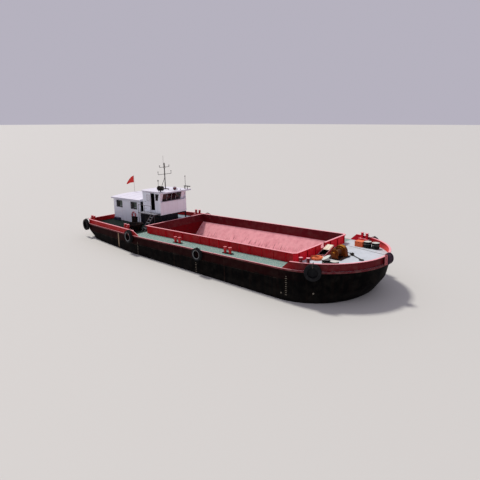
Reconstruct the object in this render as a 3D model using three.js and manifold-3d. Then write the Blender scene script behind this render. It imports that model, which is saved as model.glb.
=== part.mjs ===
// A self-propelled hopper workboat: a shallow river barge with one open hold, a raised wheelhouse
// over the engine casing and a crew house aft.
// Millimetres. +X towards the bow, +Y to port, +Z up. The origin is amidships on the centreline,
// on the flat keel plating.
import * as THREE from 'three';
import { mergeVertices } from 'three/addons/utils/BufferGeometryUtils.js';
import Module from 'manifold-3d';

const wasm = await Module();
wasm.setup();

// Driving sizes of the hull
const HALF_BEAM = 5200;
const DECK_Z = 2800;
const BOW_CENTRE_X = 10100;
const BOW_REACH = 5700;
const STERN_JOINT_X = -7000;
const TRANSOM_X = -16400;
const TRANSOM_HALF = 4400;
const TRANSOM_CORNER = 500;
const STRAKE_DEPTH = 90;
const STRAKE_HEIGHT = 120;
const SEAT_GAP = 0.3;
const RUNNING_GAP = 0.5;
const MOVING_GAP = 5;
const OVERCUT = 50;

// Driving sizes of the hold
const HOLD_AFT_X = -6550;
const HOLD_FORE_X = 10680;
const HOLD_HALF = 3795;
const COAMING_TOP_Z = 3550;
const COAMING_PLATE = 80;
const HOPPER_TOP_Z = 2700;
const HOPPER_FLOOR_Z = 285;
const HOPPER_FLOOR_HALF = 1300;

// Driving sizes of the houses
const WALL = 60;
const CASING_TOP_Z = 4050;
const HOUSE = { aft: -15800, fore: -10940, starboard: -1250, port: 3500, top: 5250 };
const BRIDGE = { aft: -10750, fore: -7400, starboard: -1300, port: 2200, top: 6350, corner: 700 };

// Driving sizes of the running gear
const SHAFT_Y = 1900;
const SHAFT_Z = 600;
const PROPELLER_RADIUS = 480;
const PROPELLER_X = -13300;
const RUDDER_X = -14250;

const PAINT = {
  hull: [0x17171b, 0.55, 0.1],
  red: [0x8c1a20, 0.5, 0.1],
  pink: [0xb55a5e, 0.6, 0.1],
  white: [0xd9dbe2, 0.45, 0.05],
  dark: [0x2a2c33, 0.6, 0.1],
  ochre: [0x9a6420, 0.6, 0.2],
  rubber: [0x141416, 0.9, 0.0],
  glass: [0x2c3338, 0.15, 0.0],
  steel: [0x6d7074, 0.45, 0.6],
  bronze: [0x8f6a35, 0.4, 0.8],
  flag: [0xc4161c, 0.85, 0.0],
  orange: [0xd8632a, 0.6, 0.0],
};

// Solids and how they are joined
function solid(geometry) {
  const bare = geometry.clone();
  bare.deleteAttribute('normal');
  bare.deleteAttribute('uv');
  const merged = mergeVertices(bare, 1e-3);
  return new wasm.Manifold(new wasm.Mesh({
    numProp: 3,
    vertProperties: new Float32Array(merged.attributes.position.array),
    triVerts: new Uint32Array(merged.index.array),
  }));
}

function geometryOf(body) {
  const mesh = body.getMesh();
  const geometry = new THREE.BufferGeometry();
  geometry.setAttribute('position', new THREE.BufferAttribute(mesh.vertProperties, 3));
  geometry.setIndex(new THREE.BufferAttribute(mesh.triVerts, 1));
  return geometry;
}

function join(bodies) {
  return bodies.reduce((sum, body) => sum.add(body));
}

function cut(body, tools) {
  return tools.reduce((rest, tool) => rest.subtract(tool), body);
}

// Ranges: two limits in rising order, and a width about a middle
function ordered(a, b) {
  return [Math.min(a, b), Math.max(a, b)];
}

function about(middle, width) {
  return [middle - width / 2, middle + width / 2];
}

function block([x0, x1], [y0, y1], [z0, z1]) {
  const geometry = new THREE.BoxGeometry(x1 - x0, y1 - y0, z1 - z0);
  return solid(geometry.translate((x0 + x1) / 2, (y0 + y1) / 2, (z0 + z1) / 2));
}

function shapeOf(points, holes = []) {
  const shape = new THREE.Shape(points.map(([u, v]) => new THREE.Vector2(u, v)));
  shape.holes = holes.map((hole) => new THREE.Path(hole.map(([u, v]) => new THREE.Vector2(u, v))));
  return shape;
}

// A plan outline of [x, y] points, raised from z0 to z1
function upright(points, [z0, z1], holes = []) {
  const rise = { depth: z1 - z0, bevelEnabled: false };
  return solid(new THREE.ExtrudeGeometry(shapeOf(points, holes), rise).translate(0, 0, z0));
}

// A cross-section of [y, z] points, run from x0 to x1
function lengthwise(points, [x0, x1], holes = []) {
  const run = { depth: x1 - x0, bevelEnabled: false };
  const geometry = new THREE.ExtrudeGeometry(shapeOf(points, holes), run);
  const turn = new THREE.Matrix4().set(0, 0, 1, x0, 1, 0, 0, 0, 0, 1, 0, 0, 0, 0, 0, 1);
  return solid(geometry.applyMatrix4(turn));
}

// A side profile of [x, z] points, run from y0 to y1
function crosswise(points, [y0, y1], holes = []) {
  const swap = (list) => list.map(([x, z]) => [z, x]);
  const shape = shapeOf(swap(points), holes.map(swap));
  const geometry = new THREE.ExtrudeGeometry(shape, { depth: y1 - y0, bevelEnabled: false });
  const turn = new THREE.Matrix4().set(0, 1, 0, 0, 0, 0, 1, y0, 1, 0, 0, 0, 0, 0, 0, 1);
  return solid(geometry.applyMatrix4(turn));
}

function rod(from, to, radius, sides = 12) {
  const start = new THREE.Vector3(...from);
  const along = new THREE.Vector3(...to).sub(start);
  const geometry = new THREE.CylinderGeometry(radius, radius, along.length(), sides);
  const upAxis = new THREE.Vector3(0, 1, 0);
  geometry.applyQuaternion(new THREE.Quaternion().setFromUnitVectors(upAxis, along.clone().normalize()));
  const middle = start.add(along.multiplyScalar(0.5));
  return solid(geometry.translate(middle.x, middle.y, middle.z));
}

// A round body about +Z from [radius, z] points that close on themselves or start and end on the axis
function turned(profile, sides = 24) {
  const points = profile.map(([radius, z]) => new THREE.Vector2(radius, z));
  return solid(new THREE.LatheGeometry(points, sides).rotateX(Math.PI / 2));
}

function placed(body, [x, y, z], turnDegrees = 0) {
  const geometry = geometryOf(body).rotateZ(THREE.MathUtils.degToRad(turnDegrees));
  return solid(geometry.translate(x, y, z));
}

function arc([cx, cy], radius, fromDegrees, toDegrees, steps) {
  const points = [];
  for (let i = 0; i <= steps; i += 1) {
    const angle = THREE.MathUtils.degToRad(fromDegrees + ((toDegrees - fromDegrees) * i) / steps);
    points.push([cx + radius * Math.cos(angle), cy + radius * Math.sin(angle)]);
  }
  return points;
}

const boat = new THREE.Group();

function add(name, body, [color, roughness, metalness]) {
  const material = new THREE.MeshStandardMaterial({ color, roughness, metalness });
  const mesh = new THREE.Mesh(geometryOf(body), material);
  mesh.name = name;
  boat.add(mesh);
}

// Hull outline in plan, counter-clockwise from above. A grown outline lies that far outside the plating.
function bowEdge(grow, half = HALF_BEAM, reach = BOW_REACH, fromX = BOW_CENTRE_X) {
  const steps = 40;
  const limit = Math.acos((fromX - BOW_CENTRE_X) / (reach + grow));
  const points = [];
  for (let i = 0; i <= steps; i += 1) {
    const angle = -limit + (2 * limit * i) / steps;
    points.push([BOW_CENTRE_X + (reach + grow) * Math.cos(angle), (half + grow) * Math.sin(angle)]);
  }
  points[0][0] = fromX;
  points[steps][0] = fromX;
  return points;
}

function sternEdge(grow, half = HALF_BEAM, fromX = STERN_JOINT_X) {
  const corner = TRANSOM_HALF - (HALF_BEAM - half) - TRANSOM_CORNER;
  const port = arc([TRANSOM_X + TRANSOM_CORNER, corner], TRANSOM_CORNER + grow, 90, 180, 5);
  const starboard = arc([TRANSOM_X + TRANSOM_CORNER, -corner], TRANSOM_CORNER + grow, 180, 270, 5);
  const shoulder = [[STERN_JOINT_X, half + grow]];
  const start = fromX > STERN_JOINT_X ? [[fromX, half + grow]] : [];
  const portSide = [...start, ...shoulder, ...port];
  const back = [...shoulder, ...start].map(([x, y]) => [x, -y]);
  return [...portSide, ...starboard, ...back];
}

function deckEdge(grow) {
  return [...bowEdge(grow), ...sternEdge(grow)];
}

// Rings of [x, y, z] points with one count, stacked from the bottom up and closed at both ends
function stacked(rings) {
  const count = rings[0].length;
  const index = [];
  for (let ring = 0; ring + 1 < rings.length; ring += 1) {
    for (let i = 0; i < count; i += 1) {
      const a = ring * count + i;
      const b = ring * count + ((i + 1) % count);
      index.push(a, b, b + count, a, b + count, a + count);
    }
  }
  const cap = (ring) => {
    const flat = rings[ring].map(([x, y]) => new THREE.Vector2(x, y));
    return THREE.ShapeUtils.triangulateShape(flat, []);
  };
  const top = (rings.length - 1) * count;
  cap(0).forEach(([a, b, c]) => index.push(a, c, b));
  cap(rings.length - 1).forEach(([a, b, c]) => index.push(top + a, top + b, top + c));
  const geometry = new THREE.BufferGeometry();
  geometry.setAttribute('position', new THREE.Float32BufferAttribute(rings.flat(2), 3));
  geometry.setIndex(index);
  return solid(geometry);
}

// Hull blocks
const STRAKE_FOOT_Z = DECK_Z - STRAKE_HEIGHT;
const HULL_LEVELS = [
  { z: 0, half: 4800, reach: 3500 },
  { z: 120, half: 5083, reach: 4100 },
  { z: 400, half: HALF_BEAM, reach: 4550 },
  { z: 1450, half: HALF_BEAM, reach: 5350 },
  { z: STRAKE_FOOT_Z, half: HALF_BEAM, reach: BOW_REACH },
  { z: DECK_Z, half: HALF_BEAM, reach: BOW_REACH },
];
const HOLD_WALL_HALF = HOLD_HALF - COAMING_PLATE;
const HOLD_VOID_X = [HOLD_AFT_X + COAMING_PLATE, HOLD_FORE_X - COAMING_PLATE];

function holdVoid() {
  const right = [
    [HOPPER_FLOOR_HALF, HOPPER_FLOOR_Z],
    [HOLD_WALL_HALF, HOPPER_TOP_Z],
    [HOLD_WALL_HALF, DECK_Z + 100],
  ];
  const left = right.map(([y, z]) => [-y, z]).reverse();
  return lengthwise([...right, ...left], HOLD_VOID_X);
}

function bowBlock() {
  const ringAt = ({ z, half, reach }) => bowEdge(0, half, reach).map(([x, y]) => [x, y, z]);
  return cut(stacked(HULL_LEVELS.map(ringAt)), [holdVoid()]);
}

function holdBlock() {
  const side = HULL_LEVELS.filter(({ z }) => z <= 400 || z === DECK_Z).map(({ z, half }) => [half, z]);
  const section = [...side, ...side.map(([y, z]) => [-y, z]).reverse()];
  return cut(lengthwise(section, [STERN_JOINT_X, BOW_CENTRE_X]), [holdVoid()]);
}

// The stern: an undercut run over the propellers, a centre skeg, two stern tubes with their struts,
// two rudder bosses and the engine room under the casing
const ENGINE_ROOM = { x: [-10560, -7700], half: 2600, floor: 300, ceiling: 2600 };
const ENGINE_HATCH_Y = [-1150, 900];
const TUBE_END_X = PROPELLER_X + 220;
const BOSS_FOOT_Z = 1250;

function sternBlock() {
  const rings = HULL_LEVELS.map(({ z, half }) => sternEdge(0, half).map(([x, y]) => [x, y, z]));
  const wide = [-HALF_BEAM - 500, HALF_BEAM + 500];
  const run = [
    [-11000, -10], [-12600, 1150], [-14700, 1330], [-15140, 1630],
    [TRANSOM_X, 2290], [TRANSOM_X - 200, 2380], [TRANSOM_X - 200, -10],
  ];
  const room = ENGINE_ROOM;
  const hollow = join([
    block(room.x, [-room.half, room.half], [room.floor, room.ceiling]),
    block(room.x, ENGINE_HATCH_Y, [room.ceiling - 10, DECK_Z + 10]),
  ]);
  const body = cut(stacked(rings), [crosswise(run, wide), hollow]);
  const skeg = crosswise([[-10900, 0], [-10900, 700], [-14500, 1400], [-14000, 0]], [-120, 120]);
  const gear = [-SHAFT_Y, SHAFT_Y].flatMap((y) => [
    rod([-11300, y, SHAFT_Z], [TUBE_END_X, y, SHAFT_Z], 110, 16),
    block([TUBE_END_X + 20, TUBE_END_X + 260], [y - 30, y + 30], [SHAFT_Z, 1260]),
    rod([RUDDER_X, y, BOSS_FOOT_Z], [RUDDER_X, y, 1600], 140, 16),
  ]);
  return join([body, skeg, ...gear]);
}

add('hull_bow_block', bowBlock(), PAINT.hull);
add('hull_hold_block', holdBlock(), PAINT.hull);
add('hull_stern_block', sternBlock(), PAINT.hull);

// Rubbing strake round the deck edge
const strakeHole = deckEdge(SEAT_GAP).reverse();
add('rubbing_strake', upright(deckEdge(STRAKE_DEPTH), [STRAKE_FOOT_Z, DECK_Z], [strakeHole]), PAINT.pink);

// Hold coaming: plate, top flange, stiffeners, and a walk-through notch in the fore end
const FLANGE_DEPTH = 60;
const FLANGE_WIDTH = 100;
const COAMING_CHAMFER = 200;
const STIFFENER = { thick: 24, deep: 85, pitch: 1130, bite: 10, shift: 60 };
const NOTCH = { y: [-230, 290], foot: 3180 };

function coamingOutline(grow) {
  const aft = HOLD_AFT_X - grow;
  const fore = HOLD_FORE_X + grow;
  const half = HOLD_HALF + grow;
  const slant = Math.max(0, COAMING_CHAMFER + grow * (2 - Math.SQRT2));
  const starboard = [[aft, -half], [fore - slant, -half], [fore, -half + slant]];
  const port = [[fore, half - slant], [fore - slant, half], [aft, half]];
  return [...starboard, ...port];
}

function coaming() {
  const inside = coamingOutline(-COAMING_PLATE).reverse();
  const plate = upright(coamingOutline(0), [DECK_Z, COAMING_TOP_Z], [inside]);
  const flangeRise = [COAMING_TOP_Z - FLANGE_DEPTH, COAMING_TOP_Z];
  const flange = upright(coamingOutline(FLANGE_WIDTH), flangeRise, [inside]);
  const rise = [DECK_Z, COAMING_TOP_Z - FLANGE_DEPTH / 2];
  const { thick, deep, pitch, bite } = STIFFENER;
  const ribs = [];
  for (let x = HOLD_AFT_X + pitch / 2; x < HOLD_FORE_X - COAMING_CHAMFER; x += pitch) {
    for (const side of [-1, 1]) {
      const ribY = ordered(side * (HOLD_HALF - bite), side * (HOLD_HALF + deep));
      ribs.push(block(about(x, thick), ribY, rise));
    }
  }
  for (const step of [-3, -2, -1, 0, 1, 2, 3]) {
    const y = about(step * pitch + STIFFENER.shift, thick);
    ribs.push(block([HOLD_FORE_X - bite, HOLD_FORE_X + deep], y, rise));
    ribs.push(block([HOLD_AFT_X - deep, HOLD_AFT_X + bite], y, rise));
  }
  const notch = block(about(HOLD_FORE_X, 400), NOTCH.y, [NOTCH.foot, COAMING_TOP_Z + OVERCUT]);
  return cut(join([plate, flange, ...ribs]), [notch]);
}

add('hold_coaming', coaming(), PAINT.red);

// A double bollard along X: base plate, two horned posts with caps
const POST = { gap: 520, radius: 115, height: 500, cap: 25, head: 150, horn: 50, hornReach: 205, hornZ: 300 };
function doubleBollard([length, width, base] = [1000, 340, 40]) {
  const { gap, radius, height, cap, head, horn, hornReach, hornZ } = POST;
  const posts = [-gap / 2, gap / 2].flatMap((x) => [
    rod([x, 0, base / 2], [x, 0, height], radius, 10),
    rod([x, 0, height - 10], [x, 0, height + cap], head, 10),
    block(about(x, horn), about(0, 2 * hornReach), [hornZ, hornZ + horn]),
  ]);
  return join([block(about(0, length), about(0, width), [0, base]), ...posts]);
}

// Bulwarks: plate, cap rail, sloped ends, and the bollard stands inside them
const BULWARK_PLATE = [-80, -20];
const BULWARK_CAP = [-130, 30];
const CAP_DEPTH = 50;
const BOW_BULWARK = { x: 10500, top: 3350, slope: 550 };
const STERN_BULWARK = { x: -6200, top: 3260, slope: 800 };
const STAND = { length: 1100, width: 380, top: 3140 };
const BOW_BOLLARD = { x: 12000, y: -4629, turn: 17.9 };
const STERN_BOLLARDS = [
  { x: -15450, y: -4180, turn: -5.1 },
  { x: -8400, y: -4814, turn: -5.1 },
];

function band(edge, [inner, outer], rise) {
  return upright([...edge(outer), ...edge(inner).reverse()], rise);
}

function bollardStand({ x, y, turn }, side) {
  const rise = STAND.top - DECK_Z;
  const stand = block(about(0, STAND.length), about(0, STAND.width), [0, rise]);
  const bollard = placed(doubleBollard([STAND.length - 100, STAND.width - 40, 30]), [0, 0, rise - 5]);
  return placed(join([stand, bollard]), [x, y * -side, DECK_Z], turn * -side);
}

function bulwark(edge, { x, top, slope }, direction, stands) {
  const plate = band(edge, BULWARK_PLATE, [DECK_Z, top]);
  const cap = band(edge, BULWARK_CAP, [top - CAP_DEPTH, top]);
  const slant = crosswise([
    [x - direction * OVERCUT, DECK_Z + 60], [x - direction * OVERCUT, top + OVERCUT],
    [x + direction * (slope + 60), top + OVERCUT], [x + direction * slope, top - 1], [x, DECK_Z + 60],
  ], about(0, 2 * HALF_BEAM + 400));
  return join([cut(join([plate, cap]), [slant]), ...stands]);
}

const bothSides = (stand) => [-1, 1].map((side) => bollardStand(stand, side));
const bowWall = (grow) => bowEdge(grow, HALF_BEAM, BOW_REACH, BOW_BULWARK.x);
const sternWall = (grow) => sternEdge(grow, HALF_BEAM, STERN_BULWARK.x);
add('bow_bulwark', bulwark(bowWall, BOW_BULWARK, 1, bothSides(BOW_BOLLARD)), PAINT.red);
const sternStands = STERN_BOLLARDS.flatMap(bothSides);
add('stern_bulwark', bulwark(sternWall, STERN_BULWARK, -1, sternStands), PAINT.red);

// Side-deck bollards
const DECK_BOLLARDS = { fore: 4820, aft: -1150 };
for (const [place, x] of Object.entries(DECK_BOLLARDS)) {
  add(`bollard_starboard_${place}`, placed(doubleBollard(), [x, -4650, DECK_Z]), PAINT.red);
  add(`bollard_port_${place}`, placed(doubleBollard(), [x, 4650, DECK_Z]), PAINT.red);
}

// Fenders: tyres hung flat against the strake, and a soft round nose on the stem. The stern tyre hangs
// half past the transom corner, the bow tyre has a closed back.
const TYRES = [
  { name: 'stern', x: -16330, z: 2640, radius: 600 },
  { name: 'quarter', x: -7400, z: 2650, radius: 615 },
  { name: 'waist', x: 2050, z: 2440, radius: 540 },
  { name: 'bow', x: 12729, z: 2780, radius: 600, back: 60 },
];
const TYRE_SHARE = { hole: 0.6, half: 0.22, shoulder: 0.14 };

// The tyre's axis is +Z; back is the depth of a plate that closes its hole on the side named
function tyre(radius, back, side) {
  const hole = radius * TYRE_SHARE.hole;
  const half = radius * TYRE_SHARE.half;
  const shoulder = radius * TYRE_SHARE.shoulder;
  const ring = turned([
    [hole, -half], [radius - shoulder, -half], [radius, -half + shoulder],
    [radius, half - shoulder], [radius - shoulder, half], [hole, half], [hole, -half],
  ], 20);
  return back ? join([ring, rod([0, 0, side * half], [0, 0, side * (half - back)], hole + 10, 20)]) : ring;
}

// Where a tyre rests: a point on the strake's face and the way that face looks in plan
function strakeFace(x) {
  const grow = STRAKE_DEPTH + SEAT_GAP;
  if (x > BOW_CENTRE_X) {
    const sine = Math.sqrt(1 - ((x - BOW_CENTRE_X) / (BOW_REACH + grow)) ** 2);
    const y = (HALF_BEAM + grow) * sine;
    const normal = [(x - BOW_CENTRE_X) / (BOW_REACH + grow) ** 2, y / (HALF_BEAM + grow) ** 2];
    return { y, angle: Math.atan2(normal[1], normal[0]) };
  }
  if (x > STERN_JOINT_X) {
    return { y: HALF_BEAM + grow, angle: Math.PI / 2 };
  }
  const end = [TRANSOM_X + TRANSOM_CORNER, TRANSOM_HALF + grow];
  const slope = (HALF_BEAM + grow - end[1]) / (STERN_JOINT_X - end[0]);
  return { y: end[1] + slope * (x - end[0]), angle: Math.PI / 2 + Math.atan(slope) };
}

function hangTyre({ name, x, z, radius, back }) {
  const { y, angle } = strakeFace(x);
  const away = radius * TYRE_SHARE.half;
  const centre = [x + away * Math.cos(angle), y + away * Math.sin(angle), z];
  for (const [hand, side] of [['port', 1], ['starboard', -1]]) {
    const flat = geometryOf(tyre(radius, back, side)).rotateX(Math.PI / 2);
    const turnedFlat = solid(flat.rotateZ(side * (angle - Math.PI / 2)));
    add(`tyre_${hand}_${name}`, placed(turnedFlat, [centre[0], side * centre[1], centre[2]]), PAINT.rubber);
  }
}
TYRES.forEach(hangTyre);

const STEM_FENDER = { middle: DECK_Z + 370, rise: 400, root: 100, nose: 300, half: 300 };
function stemFender() {
  const { middle, rise, root, nose, half } = STEM_FENDER;
  const x = BOW_CENTRE_X + BOW_REACH + STRAKE_DEPTH + SEAT_GAP;
  const round = arc([0, 0], 1, -90, 90, 12).map(([u, v]) => [x + root + u * nose, middle + v * rise]);
  return crosswise([[x, middle - rise], ...round, [x, middle + rise]], about(0, 2 * half));
}
add('stem_fender', stemFender(), PAINT.rubber);

// Crew house: four walls, roof, two window strips and the door
const HOUSE_WINDOWS = [
  { x: [-15220, -14150], z: [4320, 5020] },
  { x: [-12570, -11490], z: [4320, 5020] },
];
const HOUSE_DOOR = { y: [2480, 3130], z: [2860, 4640] };
const FORE_WINDOW = { y: [-1120, -250], z: [4130, 5100] };
const DOOR_LAP = 35;
const DOOR_THICK = 40;
const HINGE_RADIUS = 16;

function through([low, high]) {
  return [low - OVERCUT, high + OVERCUT];
}

function houseSide(y) {
  const wall = block([HOUSE.aft, HOUSE.fore], y, [DECK_Z, HOUSE.top]);
  return cut(wall, HOUSE_WINDOWS.map(({ x, z }) => block(x, through(y), z)));
}

const starboardWallY = [HOUSE.starboard, HOUSE.starboard + WALL];
const portWallY = [HOUSE.port - WALL, HOUSE.port];
const houseEndY = [starboardWallY[1], portWallY[0]];
add('house_starboard_wall', houseSide(starboardWallY), PAINT.white);
add('house_port_wall', houseSide(portWallY), PAINT.white);
add('house_aft_wall', block([HOUSE.aft, HOUSE.aft + WALL], houseEndY, [DECK_Z, HOUSE.top]), PAINT.white);

const hingeX = HOUSE.fore + MOVING_GAP + DOOR_THICK / 2;
const hingeY = HOUSE_DOOR.y[1] + DOOR_LAP + HINGE_RADIUS - 4;
const leafZ = [HOUSE_DOOR.z[0] - DOOR_LAP, HOUSE_DOOR.z[1] + DOOR_LAP];
const HINGE_LUG = { upper: 45, lower: 24 };

function houseForeWall() {
  const x = [HOUSE.fore - WALL, HOUSE.fore];
  const doorway = block(through(x), HOUSE_DOOR.y, HOUSE_DOOR.z);
  const window = block(through(x), FORE_WINDOW.y, FORE_WINDOW.z);
  const wall = cut(block(x, houseEndY, [DECK_Z, HOUSE.top]), [doorway, window]);
  const lugX = [HOUSE.fore - 10, hingeX + HINGE_RADIUS];
  const lugY = about(hingeY, 2 * HINGE_RADIUS);
  return join([
    wall,
    block(lugX, lugY, [leafZ[1] + RUNNING_GAP, leafZ[1] + HINGE_LUG.upper]),
    block(lugX, lugY, [leafZ[0] - HINGE_LUG.lower, leafZ[0] - RUNNING_GAP]),
  ]);
}
add('house_fore_wall', houseForeWall(), PAINT.white);

// The leaf carries its hinge barrel and a bent lever handle
const HANDLE = { inset: 40, z: 3700, bar: 20, drop: 140, reach: 98 };
function houseDoor() {
  const leafX = [HOUSE.fore + MOVING_GAP, HOUSE.fore + MOVING_GAP + DOOR_THICK];
  const tip = HOUSE.fore + HANDLE.reach;
  const barY = [HOUSE_DOOR.y[0] + HANDLE.inset, HOUSE_DOOR.y[0] + HANDLE.inset + HANDLE.bar];
  return join([
    block(leafX, [HOUSE_DOOR.y[0] - DOOR_LAP, HOUSE_DOOR.y[1] + DOOR_LAP], leafZ),
    rod([hingeX, hingeY, leafZ[0]], [hingeX, hingeY, leafZ[1]], HINGE_RADIUS, 12),
    block([leafX[1] - 5, tip], barY, [HANDLE.z - HANDLE.bar, HANDLE.z]),
    block([tip - HANDLE.bar, tip], barY, [HANDLE.z - HANDLE.drop, HANDLE.z]),
  ]);
}
add('house_door', houseDoor(), PAINT.white);

const STRIP_LAP = 50;
const PANE = 8;
const stripX = [HOUSE_WINDOWS[0].x[0] - STRIP_LAP, HOUSE_WINDOWS[1].x[1] + STRIP_LAP];
const stripZ = [HOUSE_WINDOWS[0].z[0] - STRIP_LAP, HOUSE_WINDOWS[0].z[1] + STRIP_LAP];
for (const [side, face, inward] of [['starboard', starboardWallY[1], 1], ['port', portWallY[0], -1]]) {
  const y = ordered(face + inward * SEAT_GAP, face + inward * PANE);
  add(`house_glass_${side}`, block(stripX, y, stripZ), PAINT.glass);
}

const HOUSE_ROOF = { x: [-16000, -10800], y: [-1420, 3750], edge: 130, crown: 330 };
function houseRoof() {
  const { x, y, edge, crown } = HOUSE_ROOF;
  const half = (y[1] - y[0]) / 2;
  const camber = crown - edge;
  const radius = (half ** 2 + camber ** 2) / (2 * camber);
  const spread = THREE.MathUtils.radToDeg(Math.asin(half / radius));
  const middle = [(y[0] + y[1]) / 2, HOUSE.top + crown - radius];
  const arch = arc(middle, radius, 90 - spread, 90 + spread, 10);
  return lengthwise([[y[0], HOUSE.top], [y[1], HOUSE.top], ...arch], x);
}
add('house_roof', houseRoof(), PAINT.white);

// Engine casing under the wheelhouse, whose floor runs out to port over a passage on two posts, and the
// two engines on their common bed
const CASING = {
  x: [HOUSE.fore + 90, BRIDGE.fore - 50],
  y: [BRIDGE.starboard + 40, 1000],
  floorPort: BRIDGE.port - 40,
  floorDepth: 120,
  post: 100,
};
function casing() {
  const inset = ([low, high]) => [low + WALL, high - WALL];
  const under = CASING_TOP_Z - CASING.floorDepth;
  const walls = cut(
    block(CASING.x, CASING.y, [DECK_Z, CASING_TOP_Z]),
    [block(inset(CASING.x), inset(CASING.y), [DECK_Z - OVERCUT, under])],
  );
  const postY = [CASING.floorPort - CASING.post, CASING.floorPort];
  const posts = [CASING.x[0], CASING.x[1] - CASING.post].map((x) => (
    block([x, x + CASING.post], postY, [DECK_Z, under + 10])
  ));
  return join([walls, block(CASING.x, [CASING.y[0], CASING.floorPort], [under, CASING_TOP_Z]), ...posts]);
}
add('engine_casing', casing(), PAINT.dark);

const ENGINE = { x: [-10350, -8100], width: 900, height: 1300, bed: 150, beam: 250 };
function engines() {
  const foot = ENGINE_ROOM.floor;
  const rise = [foot, foot + ENGINE.height];
  const blocks = [-SHAFT_Y, SHAFT_Y].map((y) => block(ENGINE.x, about(y, ENGINE.width), rise));
  const beams = ENGINE.x.map((x, end) => {
    const inner = end === 0 ? x + ENGINE.beam : x - ENGINE.beam;
    return block(ordered(x, inner), about(0, 2 * SHAFT_Y), [foot, foot + ENGINE.bed]);
  });
  return join([...blocks, ...beams]);
}
add('main_engines', engines(), PAINT.steel);

// Wheelhouse: raked windscreen frame, side walls with a sliding door each, rounded aft wall, roof
const SCREEN = {
  top: 6190,
  foot: 5420,
  topX: BRIDGE.fore - 20,
  footX: BRIDGE.fore - 290,
  y: [-800, 1580],
  panes: 4,
  mullion: 60,
};
const SIDE_WINDOW = [[-8130, 6200], [-7620, 6200], [-7830, 5550], [-8130, 5550]];
const SIDE_PANE = [[-8190, 6240], [-7640, 6240], [-7850, 5500], [-8190, 5500]];
const BRIDGE_DOOR = { x: [-8950, -8300], z: [4500, 6250] };
const SLIDE_RUN = 650;
const RAIL = { thick: 40, deep: 55, past: 60, bite: 10 };
const bridgeSideX = [BRIDGE.aft + BRIDGE.corner, BRIDGE.fore];
const bridgeRise = [CASING_TOP_Z, BRIDGE.top];
const slidingRise = [BRIDGE_DOOR.z[0] - 40, BRIDGE_DOOR.z[1] + 20];

function bridgeFace(side) {
  return side < 0 ? BRIDGE.starboard : BRIDGE.port;
}

function bridgeSide(side) {
  const face = bridgeFace(side);
  const y = ordered(face, face - side * WALL);
  const wall = cut(block(bridgeSideX, y, bridgeRise), [
    crosswise(SIDE_WINDOW, through(y)),
    block(BRIDGE_DOOR.x, through(y), BRIDGE_DOOR.z),
  ]);
  const railX = [BRIDGE_DOOR.x[0] - SLIDE_RUN - RAIL.past, BRIDGE_DOOR.x[1] + RAIL.past];
  const railY = ordered(face - side * RAIL.bite, face + side * (MOVING_GAP + RAIL.deep));
  const upper = slidingRise[1] + RUNNING_GAP;
  const lower = slidingRise[0] - RUNNING_GAP;
  return join([
    wall,
    block(railX, railY, [upper, upper + RAIL.thick]),
    block(railX, railY, [lower - RAIL.thick, lower]),
  ]);
}

const GRIP = { depth: 45, width: 25, inset: 65, z: [5300, 5480] };
function bridgeDoor(side, slid) {
  const inner = bridgeFace(side) + side * MOVING_GAP;
  const outer = inner + side * DOOR_THICK;
  const foreX = BRIDGE_DOOR.x[1] + GRIP.width - slid;
  const leafX = [BRIDGE_DOOR.x[0] - GRIP.width - slid, foreX];
  const gripX = [foreX - GRIP.inset - GRIP.width, foreX - GRIP.inset];
  return join([
    block(leafX, ordered(inner, outer), slidingRise),
    block(gripX, ordered(outer - side * 5, outer + side * GRIP.depth), GRIP.z),
  ]);
}

for (const [name, side, slid] of [['starboard', -1, SLIDE_RUN], ['port', 1, 0]]) {
  add(`wheelhouse_${name}_wall`, bridgeSide(side), PAINT.white);
  add(`wheelhouse_door_${name}`, bridgeDoor(side, slid), PAINT.white);
}

const bridgeEndY = [BRIDGE.starboard + WALL, BRIDGE.port - WALL];
function bridgeFront() {
  const { topX, footX, top, foot, y, panes, mullion } = SCREEN;
  const face = BRIDGE.fore;
  const profile = [
    [face, CASING_TOP_Z], [face, foot - 40], [footX, foot - 20], [topX, top + 20], [face, BRIDGE.top],
    [face - WALL - 30, BRIDGE.top], [topX - WALL, top + 20], [footX - WALL, foot - 20],
    [footX - WALL, foot - 90], [face - WALL, foot - 110], [face - WALL, CASING_TOP_Z],
  ];
  const pitch = (y[1] - y[0] + mullion) / panes;
  const openings = [];
  for (let i = 0; i < panes; i += 1) {
    const start = y[0] + i * pitch;
    openings.push(block([footX - 200, face + 20], [start, start + pitch - mullion], [foot + 30, top - 20]));
  }
  return cut(crosswise(profile, bridgeEndY), openings);
}
add('wheelhouse_front_wall', bridgeFront(), PAINT.white);

// Glass lies on the inside of its frame
function windscreen() {
  const { topX, footX, top, foot, y } = SCREEN;
  const frameX = (z) => footX + ((topX - footX) * (z - foot + 20)) / (top - foot + 40);
  const near = WALL + RUNNING_GAP;
  const slab = [
    [frameX(foot) - near, foot], [frameX(top) - near, top],
    [frameX(top) - near - PANE, top], [frameX(foot) - near - PANE, foot],
  ];
  return crosswise(slab, [y[0] - 40, y[1] + 40]);
}
add('windscreen', windscreen(), PAINT.glass);

for (const [side, y, inward] of [['starboard', bridgeEndY[0], 1], ['port', bridgeEndY[1], -1]]) {
  const thick = ordered(y + inward * SEAT_GAP, y + inward * PANE);
  add(`wheelhouse_glass_${side}`, crosswise(SIDE_PANE, thick), PAINT.glass);
}

function roundedAft(grow, foreX) {
  const { aft, starboard, port, corner } = BRIDGE;
  const radius = corner + grow;
  return [
    [foreX, port + grow],
    ...arc([aft + corner, port - corner], radius, 90, 180, 8),
    ...arc([aft + corner, starboard + corner], radius, 180, 270, 8),
    [foreX, starboard - grow],
  ];
}

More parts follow.
